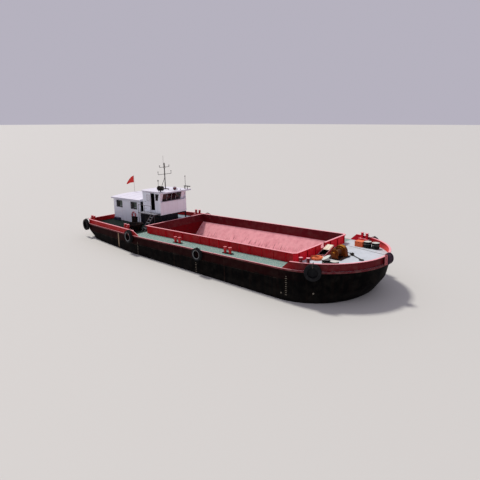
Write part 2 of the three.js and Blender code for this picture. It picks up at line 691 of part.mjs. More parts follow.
function bridgeAft() {
  const outer = roundedAft(0, bridgeSideX[0]).slice(1, -1);
  const inner = roundedAft(-WALL, bridgeSideX[0]).slice(1, -1);
  return upright([...outer, ...inner.reverse()], bridgeRise);
}
add('wheelhouse_aft_wall', bridgeAft(), PAINT.white);

// Wheelhouse roof with what is bolted down on it: the round signal lamp in the middle, a lamp post to
// starboard, and the bracket with its post at the port fore corner
const BRIDGE_ROOF = { foreX: -6660, overhang: 100, thick: 110 };
const ROOF_TOP_Z = BRIDGE.top + BRIDGE_ROOF.thick;
const SIGNAL_LAMP = { x: -7330, y: 640, post: 45, lens: 170, foot: 60, height: 330 };
const ROOF_POSTS = [
  { x: -8000, y: -960, radius: 18, height: 1150, head: 55, headHeight: 110 },
  { x: -7050, y: 1880, radius: 18, height: 1400, head: 45, headHeight: 90 },
];
const CORNER_BRACKET = { x: [-7240, -6320], y: 1880, width: 90, bar: [280, 350], feet: [-7200, -6740] };
function bridgeRoof() {
  const slab = upright(roundedAft(BRIDGE_ROOF.overhang, BRIDGE_ROOF.foreX), [BRIDGE.top, ROOF_TOP_Z]);
  const { x, y, post, lens, foot, height } = SIGNAL_LAMP;
  const posts = ROOF_POSTS.flatMap((item) => [
    rod([item.x, item.y, ROOF_TOP_Z - 10], [item.x, item.y, ROOF_TOP_Z + item.height], item.radius, 8),
    rod([item.x, item.y, ROOF_TOP_Z + item.height - item.headHeight],
      [item.x, item.y, ROOF_TOP_Z + item.height], item.head, 10),
  ]);
  const bracket = CORNER_BRACKET;
  return join([
    slab,
    rod([x, y, ROOF_TOP_Z - 10], [x, y, ROOF_TOP_Z + foot + 10], post, 10),
    rod([x, y, ROOF_TOP_Z + foot], [x, y, ROOF_TOP_Z + height], lens, 14),
    ...posts,
    block(bracket.x, about(bracket.y, bracket.width), bracket.bar.map((rise) => ROOF_TOP_Z + rise)),
    ...bracket.feet.map((footX) => rod(
      [footX, bracket.y, ROOF_TOP_Z - 10],
      [footX, bracket.y, ROOF_TOP_Z + bracket.bar[0] + 10],
      bracket.width / 3,
      8,
    )),
  ]);
}
add('wheelhouse_roof', bridgeRoof(), PAINT.white);

// Helm: console and wheel
const HELM = { x: -8050, y: 450, z: 5000, stand: 60, half: 550, top: 5080 };
const HELM_WHEEL = { radius: 330, rim: 18, handle: 90, spoke: 13 };
function console() {
  const { x, y, z, stand, half, top } = HELM;
  return join([
    block([x, x + 260], about(y, 2 * half), [CASING_TOP_Z, top]),
    rod([x + 20, y, z], [x - stand, y, z], 60, 12),
  ]);
}
add('helm_console', console(), PAINT.dark);

function helmWheel() {
  const { x, y, z, stand } = HELM;
  const { radius, rim, handle, spoke } = HELM_WHEEL;
  const ring = solid(new THREE.TorusGeometry(radius, rim, 4, 16).rotateY(Math.PI / 2));
  const spokes = [0, 1, 2, 3].map((step) => {
    const angle = (step * Math.PI) / 4;
    const tip = [0, Math.cos(angle) * (radius + handle), Math.sin(angle) * (radius + handle)];
    return rod(tip, tip.map((value) => -value), spoke, 4);
  });
  const hub = rod([-35, 0, 0], [50, 0, 0], 55, 8);
  return placed(join([ring, hub, ...spokes]), [x - stand - 50 - RUNNING_GAP, y, z]);
}
add('helm_wheel', helmWheel(), PAINT.ochre);

// Boarding landing under the starboard door, with its ladder down to the deck and a handrail
const LANDING = { x: [-10100, -7430], y: [-2150, BRIDGE.starboard - 2], z: [4200, 4250] };
const LANDING_LEG = { inset: 60, radius: 28, bearer: 60 };
const LADDER = { x: [-7900, -7430], footY: -3400, half: 70, cheek: 40 };
const RUNG = { count: 5, tread: 120, thick: 30 };
const HANDRAIL = { z: 5090, radius: 18, y: -2120, posts: [-7960, -9000, -10040] };
function landing() {
  const { inset, radius, bearer } = LANDING_LEG;
  const legY = LANDING.y[0] + inset;
  const bearerZ = [LANDING.z[0] - 50, LANDING.z[0] + 10];
  const legs = [LANDING.x[0] + inset, LANDING.x[1] - inset].flatMap((x) => [
    rod([x, legY, DECK_Z], [x, legY, LANDING.z[0] + 10], radius, 8),
    block(about(x, bearer), [LANDING.y[0] + inset / 2, LANDING.y[1]], bearerZ),
  ]);
  const { footY, half } = LADDER;
  const headY = LANDING.y[0];
  const head = LANDING.z[1];
  const rungs = [];
  for (let step = 1; step <= RUNG.count; step += 1) {
    const share = step / (RUNG.count + 1);
    const y = footY + (headY - footY) * share;
    const z = DECK_Z + (head - DECK_Z) * share;
    rungs.push(block(LADDER.x, about(y, RUNG.tread), about(z, RUNG.thick)));
  }
  const side = [[footY - half, DECK_Z], [footY + half, DECK_Z], [headY + half, head], [headY - half, head]];
  const stringers = LADDER.x.map((x) => lengthwise(side, about(x, LADDER.cheek)));
  const railEnd = (x) => [x, HANDRAIL.y, HANDRAIL.z];
  const rail = [
    ...HANDRAIL.posts.map((x) => rod([x, HANDRAIL.y, LANDING.z[0]], railEnd(x), HANDRAIL.radius, 8)),
    rod(railEnd(HANDRAIL.posts[2] - 10), railEnd(HANDRAIL.posts[0] + 10), HANDRAIL.radius, 8),
  ];
  return join([block(LANDING.x, LANDING.y, LANDING.z), ...legs, ...stringers, ...rungs, ...rail]);
}
add('boarding_landing', landing(), PAINT.white);

// Signal mast on the wheelhouse roof: mast, head lamp, whip, two crossarms with upturned ends, back stays
const MAST = { x: -8900, y: 700, radius: 50, top: 9050, foot: [-560, 120], footHalf: 430, footPlate: 20 };
const HEAD_LAMP = { radius: 75, under: 20, over: 160 };
const ARM_LAMP = { radius: 95, z: [8690, 8900] };
const WHIP = { off: 120, foot: 8990, top: 10000, radius: 11, holder: 15 };
const CROSSARMS = [
  { z: 8060, half: 880, lift: 330 },
  { z: 8800, half: 640, lift: 200 },
];
const STAY = { back: 380, spread: 330, rise: 1250, radius: 24 };
function mast() {
  const { x, y, radius, top } = MAST;
  const foot = ROOF_TOP_Z;
  const arms = CROSSARMS.flatMap(({ z, half, lift }) => [
    rod([x, y - half, z], [x, y + half, z], 22, 8),
    rod([x, y - half, z], [x, y - half, z + lift], 22, 8),
    rod([x, y + half, z], [x, y + half, z + lift], 22, 8),
  ]);
  const stays = [-1, 1].map((side) => rod(
    [x - STAY.back, y + side * STAY.spread, foot - 10],
    [x, y + side * 20, foot + STAY.rise],
    STAY.radius,
    8,
  ));
  const body = join([
    block([x + MAST.foot[0], x + MAST.foot[1]], about(y, 2 * MAST.footHalf), [foot, foot + MAST.footPlate]),
    rod([x, y, foot], [x, y, top], radius, 10),
    rod([x, y, top - HEAD_LAMP.under], [x, y, top + HEAD_LAMP.over], HEAD_LAMP.radius, 12),
    rod([x, y, ARM_LAMP.z[0]], [x, y, ARM_LAMP.z[1]], ARM_LAMP.radius, 12),
    rod([x, y - WHIP.off, WHIP.foot], [x, y - WHIP.off, WHIP.top], WHIP.radius, 6),
    rod([x, y - WHIP.off - WHIP.radius, WHIP.foot + 10], [x, y, WHIP.foot + 10], WHIP.holder, 6),
    ...arms,
    ...stays,
  ]);
  return cut(body, [block(about(x, 6000), about(y, 6000), [foot - 500, foot])]);
}
add('signal_mast', mast(), PAINT.steel);

// Searchlight: a drum-shaped lamp in a fork on a short post
const LIGHT = { x: -7450, y: -1150, z: 370, radius: 225, length: 600, post: 55 };
const FORK = { inner: 225, outer: 255, over: 30, width: 80, sill: 50 };
function searchlight() {
  const { x, y, z, radius, length, post } = LIGHT;
  const foot = ROOF_TOP_Z;
  const arms = [-1, 1].map((side) => {
    const armY = ordered(y + side * FORK.inner, y + side * FORK.outer);
    return block(about(x, FORK.width), armY, [foot + z - radius + 20, foot + z + FORK.over]);
  });
  const sill = foot + z - radius;
  return join([
    rod([x, y, foot], [x, y, sill + 20], post, 10),
    rod([x - length / 2, y, foot + z], [x + length / 2, y, foot + z], radius, 16),
    block(about(x, 120), about(y, 2 * FORK.outer), [sill, sill + FORK.sill]),
    ...arms,
  ]);
}
add('searchlight', searchlight(), PAINT.dark);

// Windlass on the fore deck: bedplate, a leaning bearing plate to starboard, the round gear case to
// port, an arched guard aft of the drum, and the turning shaft with its rope drum and warping heads
const WINDLASS = { x: 12350, y: [-1180, 100], axisZ: 3200, bore: 56, shaft: 55.1 };
const WINDLASS_BED = { x: [11780, 12980], y: [-1300, 220], thick: 50 };
const BEARING = { width: 60, foot: [-200, 350], head: [-90, 130], top: 3580 };
const GEAR_CASE = { width: 380, radius: 450, foot: 520 };
const ROPE_DRUM = { barrel: 190, flange: 340, thick: 50 };
const WARPING_HEAD = { length: 230, neck: 125, rim: 170, rimWidth: 40 };
const GUARD = { x: [11800, 11850], y: -400, z: 3240, inner: 190, outer: 250 };
function windlassFrame() {
  const { x, y, axisZ, bore } = WINDLASS;
  const foot = DECK_Z + WINDLASS_BED.thick - 20;
  const bearing = [
    [x + BEARING.foot[0], foot], [x + BEARING.foot[1], foot],
    [x + BEARING.head[1], BEARING.top], [x + BEARING.head[0], BEARING.top],
  ];
  const gearCase = [
    [x - GEAR_CASE.foot, foot], [x + GEAR_CASE.foot, foot],
    ...arc([x, axisZ], GEAR_CASE.radius, 0, 180, 14),
  ];
  const guardArc = (radius) => arc([GUARD.y, GUARD.z], radius, 0, 180, 10);
  const leg = (offset) => [GUARD.y + offset, foot];
  const guard = [
    leg(GUARD.outer), ...guardArc(GUARD.outer), leg(-GUARD.outer),
    leg(-GUARD.inner), ...guardArc(GUARD.inner).reverse(), leg(GUARD.inner),
  ];
  return cut(join([
    block(WINDLASS_BED.x, WINDLASS_BED.y, [DECK_Z, DECK_Z + WINDLASS_BED.thick]),
    crosswise(bearing, [y[0], y[0] + BEARING.width]),
    crosswise(gearCase, [y[1] - GEAR_CASE.width, y[1]]),
    lengthwise(guard, GUARD.x),
  ]), [rod([x, y[0] - 200, axisZ], [x, y[1] + 200, axisZ], bore, 20)]);
}
add('windlass_frame', windlassFrame(), PAINT.ochre);

function windlassDrum() {
  const { x, y, axisZ, shaft } = WINDLASS;
  const along = (from, to, radius, sides = 14) => rod([x, from, axisZ], [x, to, axisZ], radius, sides);
  const inner = [y[0] + BEARING.width + MOVING_GAP, y[1] - GEAR_CASE.width - MOVING_GAP];
  const outer = [y[0] - MOVING_GAP, y[1] + MOVING_GAP];
  const { length, neck, rim, rimWidth } = WARPING_HEAD;
  const tips = [outer[0] - length, outer[1] + length];
  const { barrel, flange, thick } = ROPE_DRUM;
  return join([
    along(tips[0], tips[1], shaft, 20),
    along(inner[0], inner[1], barrel),
    along(inner[0], inner[0] + thick, flange),
    along(inner[1] - thick, inner[1], flange),
    along(tips[0] + rimWidth / 2, outer[0], neck),
    along(tips[0], tips[0] + rimWidth, rim),
    along(outer[1], tips[1] - rimWidth / 2, neck),
    along(tips[1] - rimWidth, tips[1], rim),
  ]);
}
add('windlass_drum', windlassDrum(), PAINT.ochre);

// Fore store hatch: a wedge-shaped trunk with a sloping mouth and a lid over its high end
const TRUNK = { x: [10830, 11450], y: [-950, 430], low: 2880, high: 3360, plate: 40 };
const trunkSlope = (TRUNK.high - TRUNK.low) / (TRUNK.y[1] - TRUNK.y[0]);
function trunk() {
  const { x, y, low, high, plate } = TRUNK;
  const outer = lengthwise([[y[0], DECK_Z], [y[1], DECK_Z], [y[1], high], [y[0], low]], x);
  const rise = [DECK_Z + 30, high + OVERCUT];
  const inner = block([x[0] + plate, x[1] - plate], [y[0] + plate, y[1] - plate], rise);
  const lugs = [[x[0], x[0] + plate], [x[1] - plate, x[1]]].map((lugX) => (
    block(lugX, [y[1] - 20, y[1] + 50], [high - 90, high + 42])
  ));
  return join([cut(outer, [inner]), ...lugs]);
}
add('store_hatch_trunk', trunk(), PAINT.red);

const LID = { reach: 720, thick: 35, pin: 14, hinge: [TRUNK.y[1] + 22, TRUNK.high + 22], root: 30 };
function hatchLid() {
  const { reach, thick, pin, hinge: [y, z], root } = LID;
  const under = (distance) => TRUNK.high + trunkSlope * (22 - distance) + RUNNING_GAP;
  const slab = [
    [y - reach, under(reach)], [y - root, under(root)], [y, z + 10],
    [y - root, under(root) + thick], [y - reach, under(reach) + thick],
  ];
  const x = [TRUNK.x[0] + TRUNK.plate + RUNNING_GAP, TRUNK.x[1] - TRUNK.plate - RUNNING_GAP];
  return join([lengthwise(slab, x), rod([x[0], y, z], [x[1], y, z], pin, 12)]);
}
add('store_hatch_lid', hatchLid(), PAINT.white);

// Drums standing in pairs on the fore deck, each pair on a shared cradle. The port cradle also
// carries a chest for hand gear.
const DRUM = { radius: 300, height: 500, lid: 12, lidDrop: 40, pitch: 700, sides: 14 };
const CRADLE = { half: 250, thick: 30 };
const CHEST = { x: [-1380, -690], y: [-260, 330], height: 430 };
function drumPair(turn, centre, extras = []) {
  const pair = about(0, DRUM.pitch).flatMap((x) => [
    rod([x, 0, CRADLE.thick / 2], [x, 0, DRUM.height - DRUM.lidDrop], DRUM.radius, DRUM.sides),
    rod([x, 0, DRUM.height - DRUM.lidDrop - 10], [x, 0, DRUM.height], DRUM.radius - DRUM.lid, DRUM.sides),
  ]);
  const cradle = block(about(0, DRUM.pitch), about(0, 2 * CRADLE.half), [0, CRADLE.thick]);
  return placed(join([cradle, ...pair, ...extras]), centre, turn);
}
const chest = [
  block(CHEST.x, CHEST.y, [0, CHEST.height]),
  block([CHEST.x[1] - 10, 0], about(0, CRADLE.half), [0, CRADLE.thick]),
];
add('drum_pair_starboard', drumPair(-5, [13140, -3100, DECK_Z]), PAINT.dark);
add('drum_pair_port', drumPair(-3, [13230, 3330, DECK_Z], chest), PAINT.dark);

// A coil of mooring rope on the fore deck beside the hatch
const COIL = { x: 11300, y: -1870, inner: 200, outer: 490, height: 180 };
const coilProfile = [
  [COIL.inner, 0], [COIL.outer, 0], [COIL.outer, COIL.height], [COIL.inner, COIL.height], [COIL.inner, 0],
];
add('mooring_rope_coil', placed(turned(coilProfile), [COIL.x, COIL.y, DECK_Z + SEAT_GAP]), PAINT.orange);

// Working tub on the starboard after deck
const TUB = { x: -8850, y: -3500, radius: 780, foot: 560, height: 620, wall: 35 };
add('deck_tub', placed(turned([
  [0, 0], [TUB.foot, 0], [TUB.radius, TUB.height], [TUB.radius - TUB.wall, TUB.height],
  [TUB.foot - TUB.wall, TUB.wall], [0, TUB.wall],
]), [TUB.x, TUB.y, DECK_Z]), PAINT.dark);

// Rescue ring on the crew house
const RING = { x: -12050, z: 3660, radius: 295, tube: 68 };
const ringBody = solid(new THREE.TorusGeometry(RING.radius, RING.tube, 8, 20).rotateX(Math.PI / 2));
const ringPlace = [RING.x, HOUSE.starboard - RING.tube - SEAT_GAP, RING.z];
add('rescue_ring', placed(ringBody, ringPlace), PAINT.orange);

// Ensign staff in a socket on the after edge of the crew-house roof, and the flag drooping from it
const STAFF = { y: 1880, height: 2250, radius: 20, socket: 90 };
const staffX = HOUSE_ROOF.x[0] - SEAT_GAP - STAFF.socket / 2;
const staffTopZ = HOUSE.top + 10 + STAFF.height;
function staff() {
  const { y, radius, socket } = STAFF;
  const foot = HOUSE.top + 10;
  return join([
    rod([staffX, y, foot + 20], [staffX, y, staffTopZ], radius, 10),
    block(about(staffX, socket), about(y, socket), [foot, foot + 110]),
  ]);
}
add('ensign_staff', staff(), PAINT.white);

// The flag's outline: distance out from the staff, and depth below its top
const FLAG_OUTLINE = [[0, 40], [260, 150], [620, 500], [1020, 1000], [900, 1090], [420, 900], [0, 860]];
const FLAG = { half: 60, turn: 205 };
function flag() {
  const start = STAFF.radius + SEAT_GAP;
  const outline = FLAG_OUTLINE.map(([out, depth]) => [out + start, -depth]).reverse();
  return placed(crosswise(outline, about(0, 2 * FLAG.half)), [staffX, STAFF.y, staffTopZ], FLAG.turn);
}
add('ensign_flag', flag(), PAINT.flag);

// Running gear
const BLADE = { root: 70, rootR: 60, belly: 230, bellyR: 300, tip: 110, thick: 24, pitchDegrees: 28 };
function propeller(hand) {
  const { root, rootR, belly, bellyR, tip, thick, pitchDegrees } = BLADE;
  const shoulder = PROPELLER_RADIUS - 20;
  const outline = new THREE.Shape();
  outline.moveTo(-root, rootR);
  outline.quadraticCurveTo(-belly, bellyR, -tip, shoulder);
  outline.quadraticCurveTo(0, PROPELLER_RADIUS + 20, tip, shoulder);
  outline.quadraticCurveTo(belly, bellyR, root, rootR);
  const flat = new THREE.ExtrudeGeometry(outline, { depth: thick, bevelEnabled: false, curveSegments: 3 });
  flat.translate(0, 0, -thick / 2).rotateY(THREE.MathUtils.degToRad(hand * pitchDegrees + 90));
  const blades = [0, 1, 2, 3].map((quarter) => solid(flat.clone().rotateX((quarter * Math.PI) / 2)));
  const hub = rod([-190, 0, 0], [220 - RUNNING_GAP, 0, 0], 105, 12);
  const nut = rod([-260, 0, 0], [-180, 0, 0], 60, 12);
  return join([hub, nut, ...blades]);
}

const RUDDER = { x: [-520, 430], z: [90, 1120], thick: 90, stock: 65 };
function rudder() {
  const blade = block(RUDDER.x, about(0, RUDDER.thick), RUDDER.z);
  const stock = rod([0, 0, RUDDER.z[1] - 20], [0, 0, BOSS_FOOT_Z - RUNNING_GAP], RUDDER.stock, 16);
  return join([blade, stock]);
}

for (const [side, sign] of [['starboard', -1], ['port', 1]]) {
  add(`propeller_${side}`, placed(propeller(sign), [PROPELLER_X, sign * SHAFT_Y, SHAFT_Z]), PAINT.bronze);
  add(`rudder_${side}`, placed(rudder(), [RUDDER_X, sign * SHAFT_Y, 0]), PAINT.hull);
}

export default boat;
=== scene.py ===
"""A multipurpose workboat of the hopper barge kind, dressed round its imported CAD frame.

Everything is in metres in the frame's own axes: X forward, Y to port, Z up from the keel. The
sections follow the boat as it is put together: hull, deck gear, houses, mast, underwater gear.
"""

import itertools
import math

import bmesh
import bpy
from mathutils import Euler, Matrix, Vector


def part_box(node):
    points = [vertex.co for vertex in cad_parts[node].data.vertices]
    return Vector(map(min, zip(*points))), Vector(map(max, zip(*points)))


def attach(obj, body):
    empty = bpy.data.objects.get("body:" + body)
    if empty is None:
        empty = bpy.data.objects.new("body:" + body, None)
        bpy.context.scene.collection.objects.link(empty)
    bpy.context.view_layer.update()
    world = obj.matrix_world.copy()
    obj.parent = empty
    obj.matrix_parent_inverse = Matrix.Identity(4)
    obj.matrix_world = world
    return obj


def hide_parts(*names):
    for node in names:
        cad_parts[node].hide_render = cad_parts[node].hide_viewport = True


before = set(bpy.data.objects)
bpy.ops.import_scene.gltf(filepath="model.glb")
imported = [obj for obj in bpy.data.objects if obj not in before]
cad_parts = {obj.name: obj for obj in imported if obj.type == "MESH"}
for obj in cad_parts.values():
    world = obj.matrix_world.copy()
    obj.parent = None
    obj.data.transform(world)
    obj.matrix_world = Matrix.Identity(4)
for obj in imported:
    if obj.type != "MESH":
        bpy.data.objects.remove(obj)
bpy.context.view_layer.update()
scene = bpy.context.scene

# The view: a camera on a bank or bridge off the starboard bow. The boat trims 1.9 degrees by the
# stern, so the water's plane leans in the boat's axes, and the camera leans with it.
EYE = Vector((28.370, -30.010, 12.365))
VIEW_AZIMUTH = math.radians(131.13)
VIEW_PITCH = math.radians(-10.42)
VIEW_ROLL = math.radians(-1.45)
LENS_MM = 33.72
FRAME_SHIFT = -0.0552
level = Vector((math.sin(VIEW_AZIMUTH), -math.cos(VIEW_AZIMUTH), 0))
ahead = Vector((
    math.cos(VIEW_PITCH) * math.cos(VIEW_AZIMUTH),
    math.cos(VIEW_PITCH) * math.sin(VIEW_AZIMUTH),
    math.sin(VIEW_PITCH),
))
right = level * math.cos(VIEW_ROLL) + level.cross(ahead) * math.sin(VIEW_ROLL)
camera = bpy.data.objects.new("camera", bpy.data.cameras.new("camera"))
camera.matrix_world = Matrix.LocRotScale(
    EYE, Matrix((right, right.cross(ahead), -ahead)).transposed().to_quaternion(), None
)
camera.data.lens = LENS_MM
camera.data.shift_y = FRAME_SHIFT
camera.data.clip_end = 5000
scene.collection.objects.link(camera)
scene.camera = camera
scene.view_settings.view_transform = "Standard"


def colour(red, green, blue):
    """A paint colour from its screen values, 0 to 255, as linear light."""
    def linear(value):
        value /= 255
        return value / 12.92 if value <= 0.04045 else ((value + 0.055) / 1.055) ** 2.4
    return (linear(red), linear(green), linear(blue), 1.0)


class Nodes:
    """A node tree being built, with short calls for the nodes that the boat needs."""

    def __init__(self, tree):
        self.tree = tree

    def fill(self, made, inputs):
        """Sets a node's inputs, links the ones given as sockets, and returns its outputs."""
        for key, value in inputs.items():
            if isinstance(value, bpy.types.NodeSocket):
                self.tree.links.new(value, made.inputs[key])
            elif value is not None:
                made.inputs[key].default_value = value
        return made.outputs

    def add(self, kind, inputs=None, **settings):
        """Adds a node, a shader node where the kind doesn't say, and returns its outputs."""
        made = self.tree.nodes.new(kind if "Node" in kind else "ShaderNode" + kind)
        for key, value in settings.items():
            setattr(made, key, value)
        return self.fill(made, inputs or {})

    def maths(self, operation, first, second=0.0):
        """One sum on two values or sockets."""
        return self.add("Math", {0: first, 1: second}, operation=operation)[0]

    def times(self, first, *others):
        """The product of them all."""
        for other in others:
            first = self.maths("MULTIPLY", first, other)
        return first

    def mix(self, factor, first, second):
        """The first colour going over to the second as the factor goes from 0 to 1."""
        return self.add("Mix", {"Factor": factor, "A": first, "B": second}, data_type="RGBA")["Result"]

    def step(self, value, low, high, shape="LINEAR"):
        """0 below low and 1 above high, or the other way round."""
        limits = {"Value": value, "From Min": low, "From Max": high}
        return self.add("MapRange", limits, interpolation_type=shape)[0]

    def ramp(self, value, low, high):
        """A step with soft ends."""
        return self.step(value, low, high, "SMOOTHSTEP")

    def noise(self, vector, scale, detail, rough=0.5, seed=None):
        """Noise at a point, with a pattern of its own for each seed."""
        inputs = {"Vector": vector, "Scale": scale, "Detail": detail, "Roughness": rough}
        if seed is None:
            return self.add("TexNoise", inputs)["Fac"]
        return self.add("TexNoise", {**inputs, "W": seed}, noise_dimensions="4D")["Fac"]

    def bump(self, height, strength, distance):
        """The normal of a surface with a relief."""
        return self.add("Bump", {"Height": height, "Strength": strength, "Distance": distance})["Normal"]

    def split(self, vector):
        """A vector's X, Y and Z."""
        return self.add("SeparateXYZ", {"Vector": vector})

    def place(self):
        """The X, Y and Z of the point, in the boat's axes."""
        return self.split(self.add("TexCoord")["Object"])

    def facing(self):
        """The X, Y and Z of the surface's normal."""
        return self.split(self.add("NewGeometry")["Normal"])

    def up(self):
        """1 on surfaces that face the sky, 0 on walls."""
        return self.ramp(self.facing()["Z"], 0.6, 0.9)

    def tests(self, at, **limits):
        """For each limit of each axis, 1 where the point is on its inner side, 0 beyond it."""
        made = []
        for axis, (low, high) in limits.items():
            if low is not None:
                made.append(self.maths("GREATER_THAN", at[axis], low))
            if high is not None:
                made.append(self.maths("LESS_THAN", at[axis], high))
        return made


class Paint(Nodes):
    """A material with its shader, whose inputs it may be given."""

    def __init__(self, name, inputs=None):
        self.material = bpy.data.materials.new(name)
        self.material.use_nodes = True
        super().__init__(self.material.node_tree)
        self.feed(inputs or {})

    def feed(self, inputs):
        """Sets or links inputs of the shader and returns the material."""
        self.fill(self.tree.nodes["Principled BSDF"], inputs)
        return self.material


# The floor lies where the water does, and is plain and pale, with an opening inside the hull so that
# the hold's bottom stays clear. A broad warm key light stands high astern, and the sky gives the rest.
WATERLINE_MID = 0.771
TRIM = math.radians(1.865)
FLOOR_REACH = 1500
FLOOR_OPENING = ((-7.0, -4.3), (11.0, 4.3))
FLOOR_COLOUR = colour(196, 195, 191)
SKY_COLOUR = colour(243, 238, 255)
SKY_STRENGTH = 0.52
KEY_AZIMUTH = math.radians(172)
KEY_HEIGHT = math.radians(60)
KEY_STRENGTH = 2.7
KEY_SPREAD = math.radians(9)
KEY_COLOUR = (1.0, 0.965, 0.90)


def rectangle(low, high):
    """The four corners of a level rectangle, going round from its low corner."""
    return [(low[0], low[1], 0), (high[0], low[1], 0), (high[0], high[1], 0), (low[0], high[1], 0)]


floor = bpy.data.objects.new("floor", bpy.data.meshes.new("floor"))
floor.data.from_pydata(
    rectangle((-FLOOR_REACH, -FLOOR_REACH), (FLOOR_REACH, FLOOR_REACH)) + rectangle(*FLOOR_OPENING),
    [], [(0, 1, 5, 4), (1, 2, 6, 5), (2, 3, 7, 6), (3, 0, 4, 7)],
)
floor.data.transform(
    Matrix.Translation((0, 0, WATERLINE_MID)) @ Euler((0, TRIM, 0)).to_matrix().to_4x4()
)
scene.collection.objects.link(floor)
floor.data.materials.append(Paint("floor_pale", {"Base Color": FLOOR_COLOUR, "Roughness": 0.75}).material)

world = bpy.data.worlds.new("sky")
world.use_nodes = True
sky = Nodes(world.node_tree)
sky.fill(world.node_tree.nodes["Background"], {"Color": SKY_COLOUR, "Strength": SKY_STRENGTH})
scene.world = world
key = bpy.data.objects.new("key_light", bpy.data.lights.new("key_light", "SUN"))
key.data.energy = KEY_STRENGTH
key.data.angle = KEY_SPREAD
key.data.color = KEY_COLOUR
key.rotation_euler = Euler((0, math.pi / 2 - KEY_HEIGHT, KEY_AZIMUTH))
scene.collection.objects.link(key)


# Mooring rope: one length of orange three-strand polypropylene, 44 mm thick, wound down on the
# fore deck in four flat layers, each spiralling back over the one below, its ends taped.
ROPE_THICK = 0.044
ROPE_LOW, ROPE_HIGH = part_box("mooring_rope_coil")
ROPE_CENTRE = (ROPE_LOW + ROPE_HIGH) / 2
ROPE_BASE = ROPE_LOW.z + ROPE_THICK / 2 + 0.001
ROPE_INNER = 0.226
ROPE_OUTER = 0.464
ROPE_WANDER = 0.004
ROPE_LAYERS = 4
ROPE_TURNS = 5
ROPE_RISE = 0.0435
ROPE_START = math.radians(-60)
ROPE_STEP = math.radians(4)
ROPE_CLIMB = math.radians(200)
ROPE_LAY = 0.30
TAPE_LENGTH = 0.09
TAPE_THICK = 0.0015
SHARP_FROM = math.radians(38)
BOX_FACES = ((0, 1, 3, 2), (4, 6, 7, 5), (0, 4, 5, 1), (2, 3, 7, 6), (0, 2, 6, 4), (1, 5, 7, 3))


def rope_route():
    """The rope's centreline from its inner end: out on even layers, back in on odd ones."""
    points = []
    angle = ROPE_START
    for layer in range(ROPE_LAYERS):
        ends = (ROPE_INNER, ROPE_OUTER) if layer % 2 == 0 else (ROPE_OUTER, ROPE_INNER)
        steps = round(ROPE_TURNS * math.tau / ROPE_STEP)
        for step in range(steps):
            climb = min(1, step * ROPE_STEP / ROPE_CLIMB) if layer else 1
            lift = layer - 1 + (3 - 2 * climb) * climb ** 2
            radius = ends[0] + (ends[1] - ends[0]) * step / steps
            radius += ROPE_WANDER * math.sin(2.3 * angle + layer)
            points.append(Vector((
                ROPE_CENTRE.x + radius * math.cos(angle),
                ROPE_CENTRE.y + radius * math.sin(angle),
                ROPE_BASE + lift * ROPE_RISE,
            )))
            angle += ROPE_STEP
    return points


def toward(start, end):
    """The matrix that sets local Z on a point and turns it toward another."""
    turn = (Vector(end) - Vector(start)).to_track_quat("Z", "Y").to_matrix().to_4x4()
    return Matrix.Translation(Vector(start)) @ turn


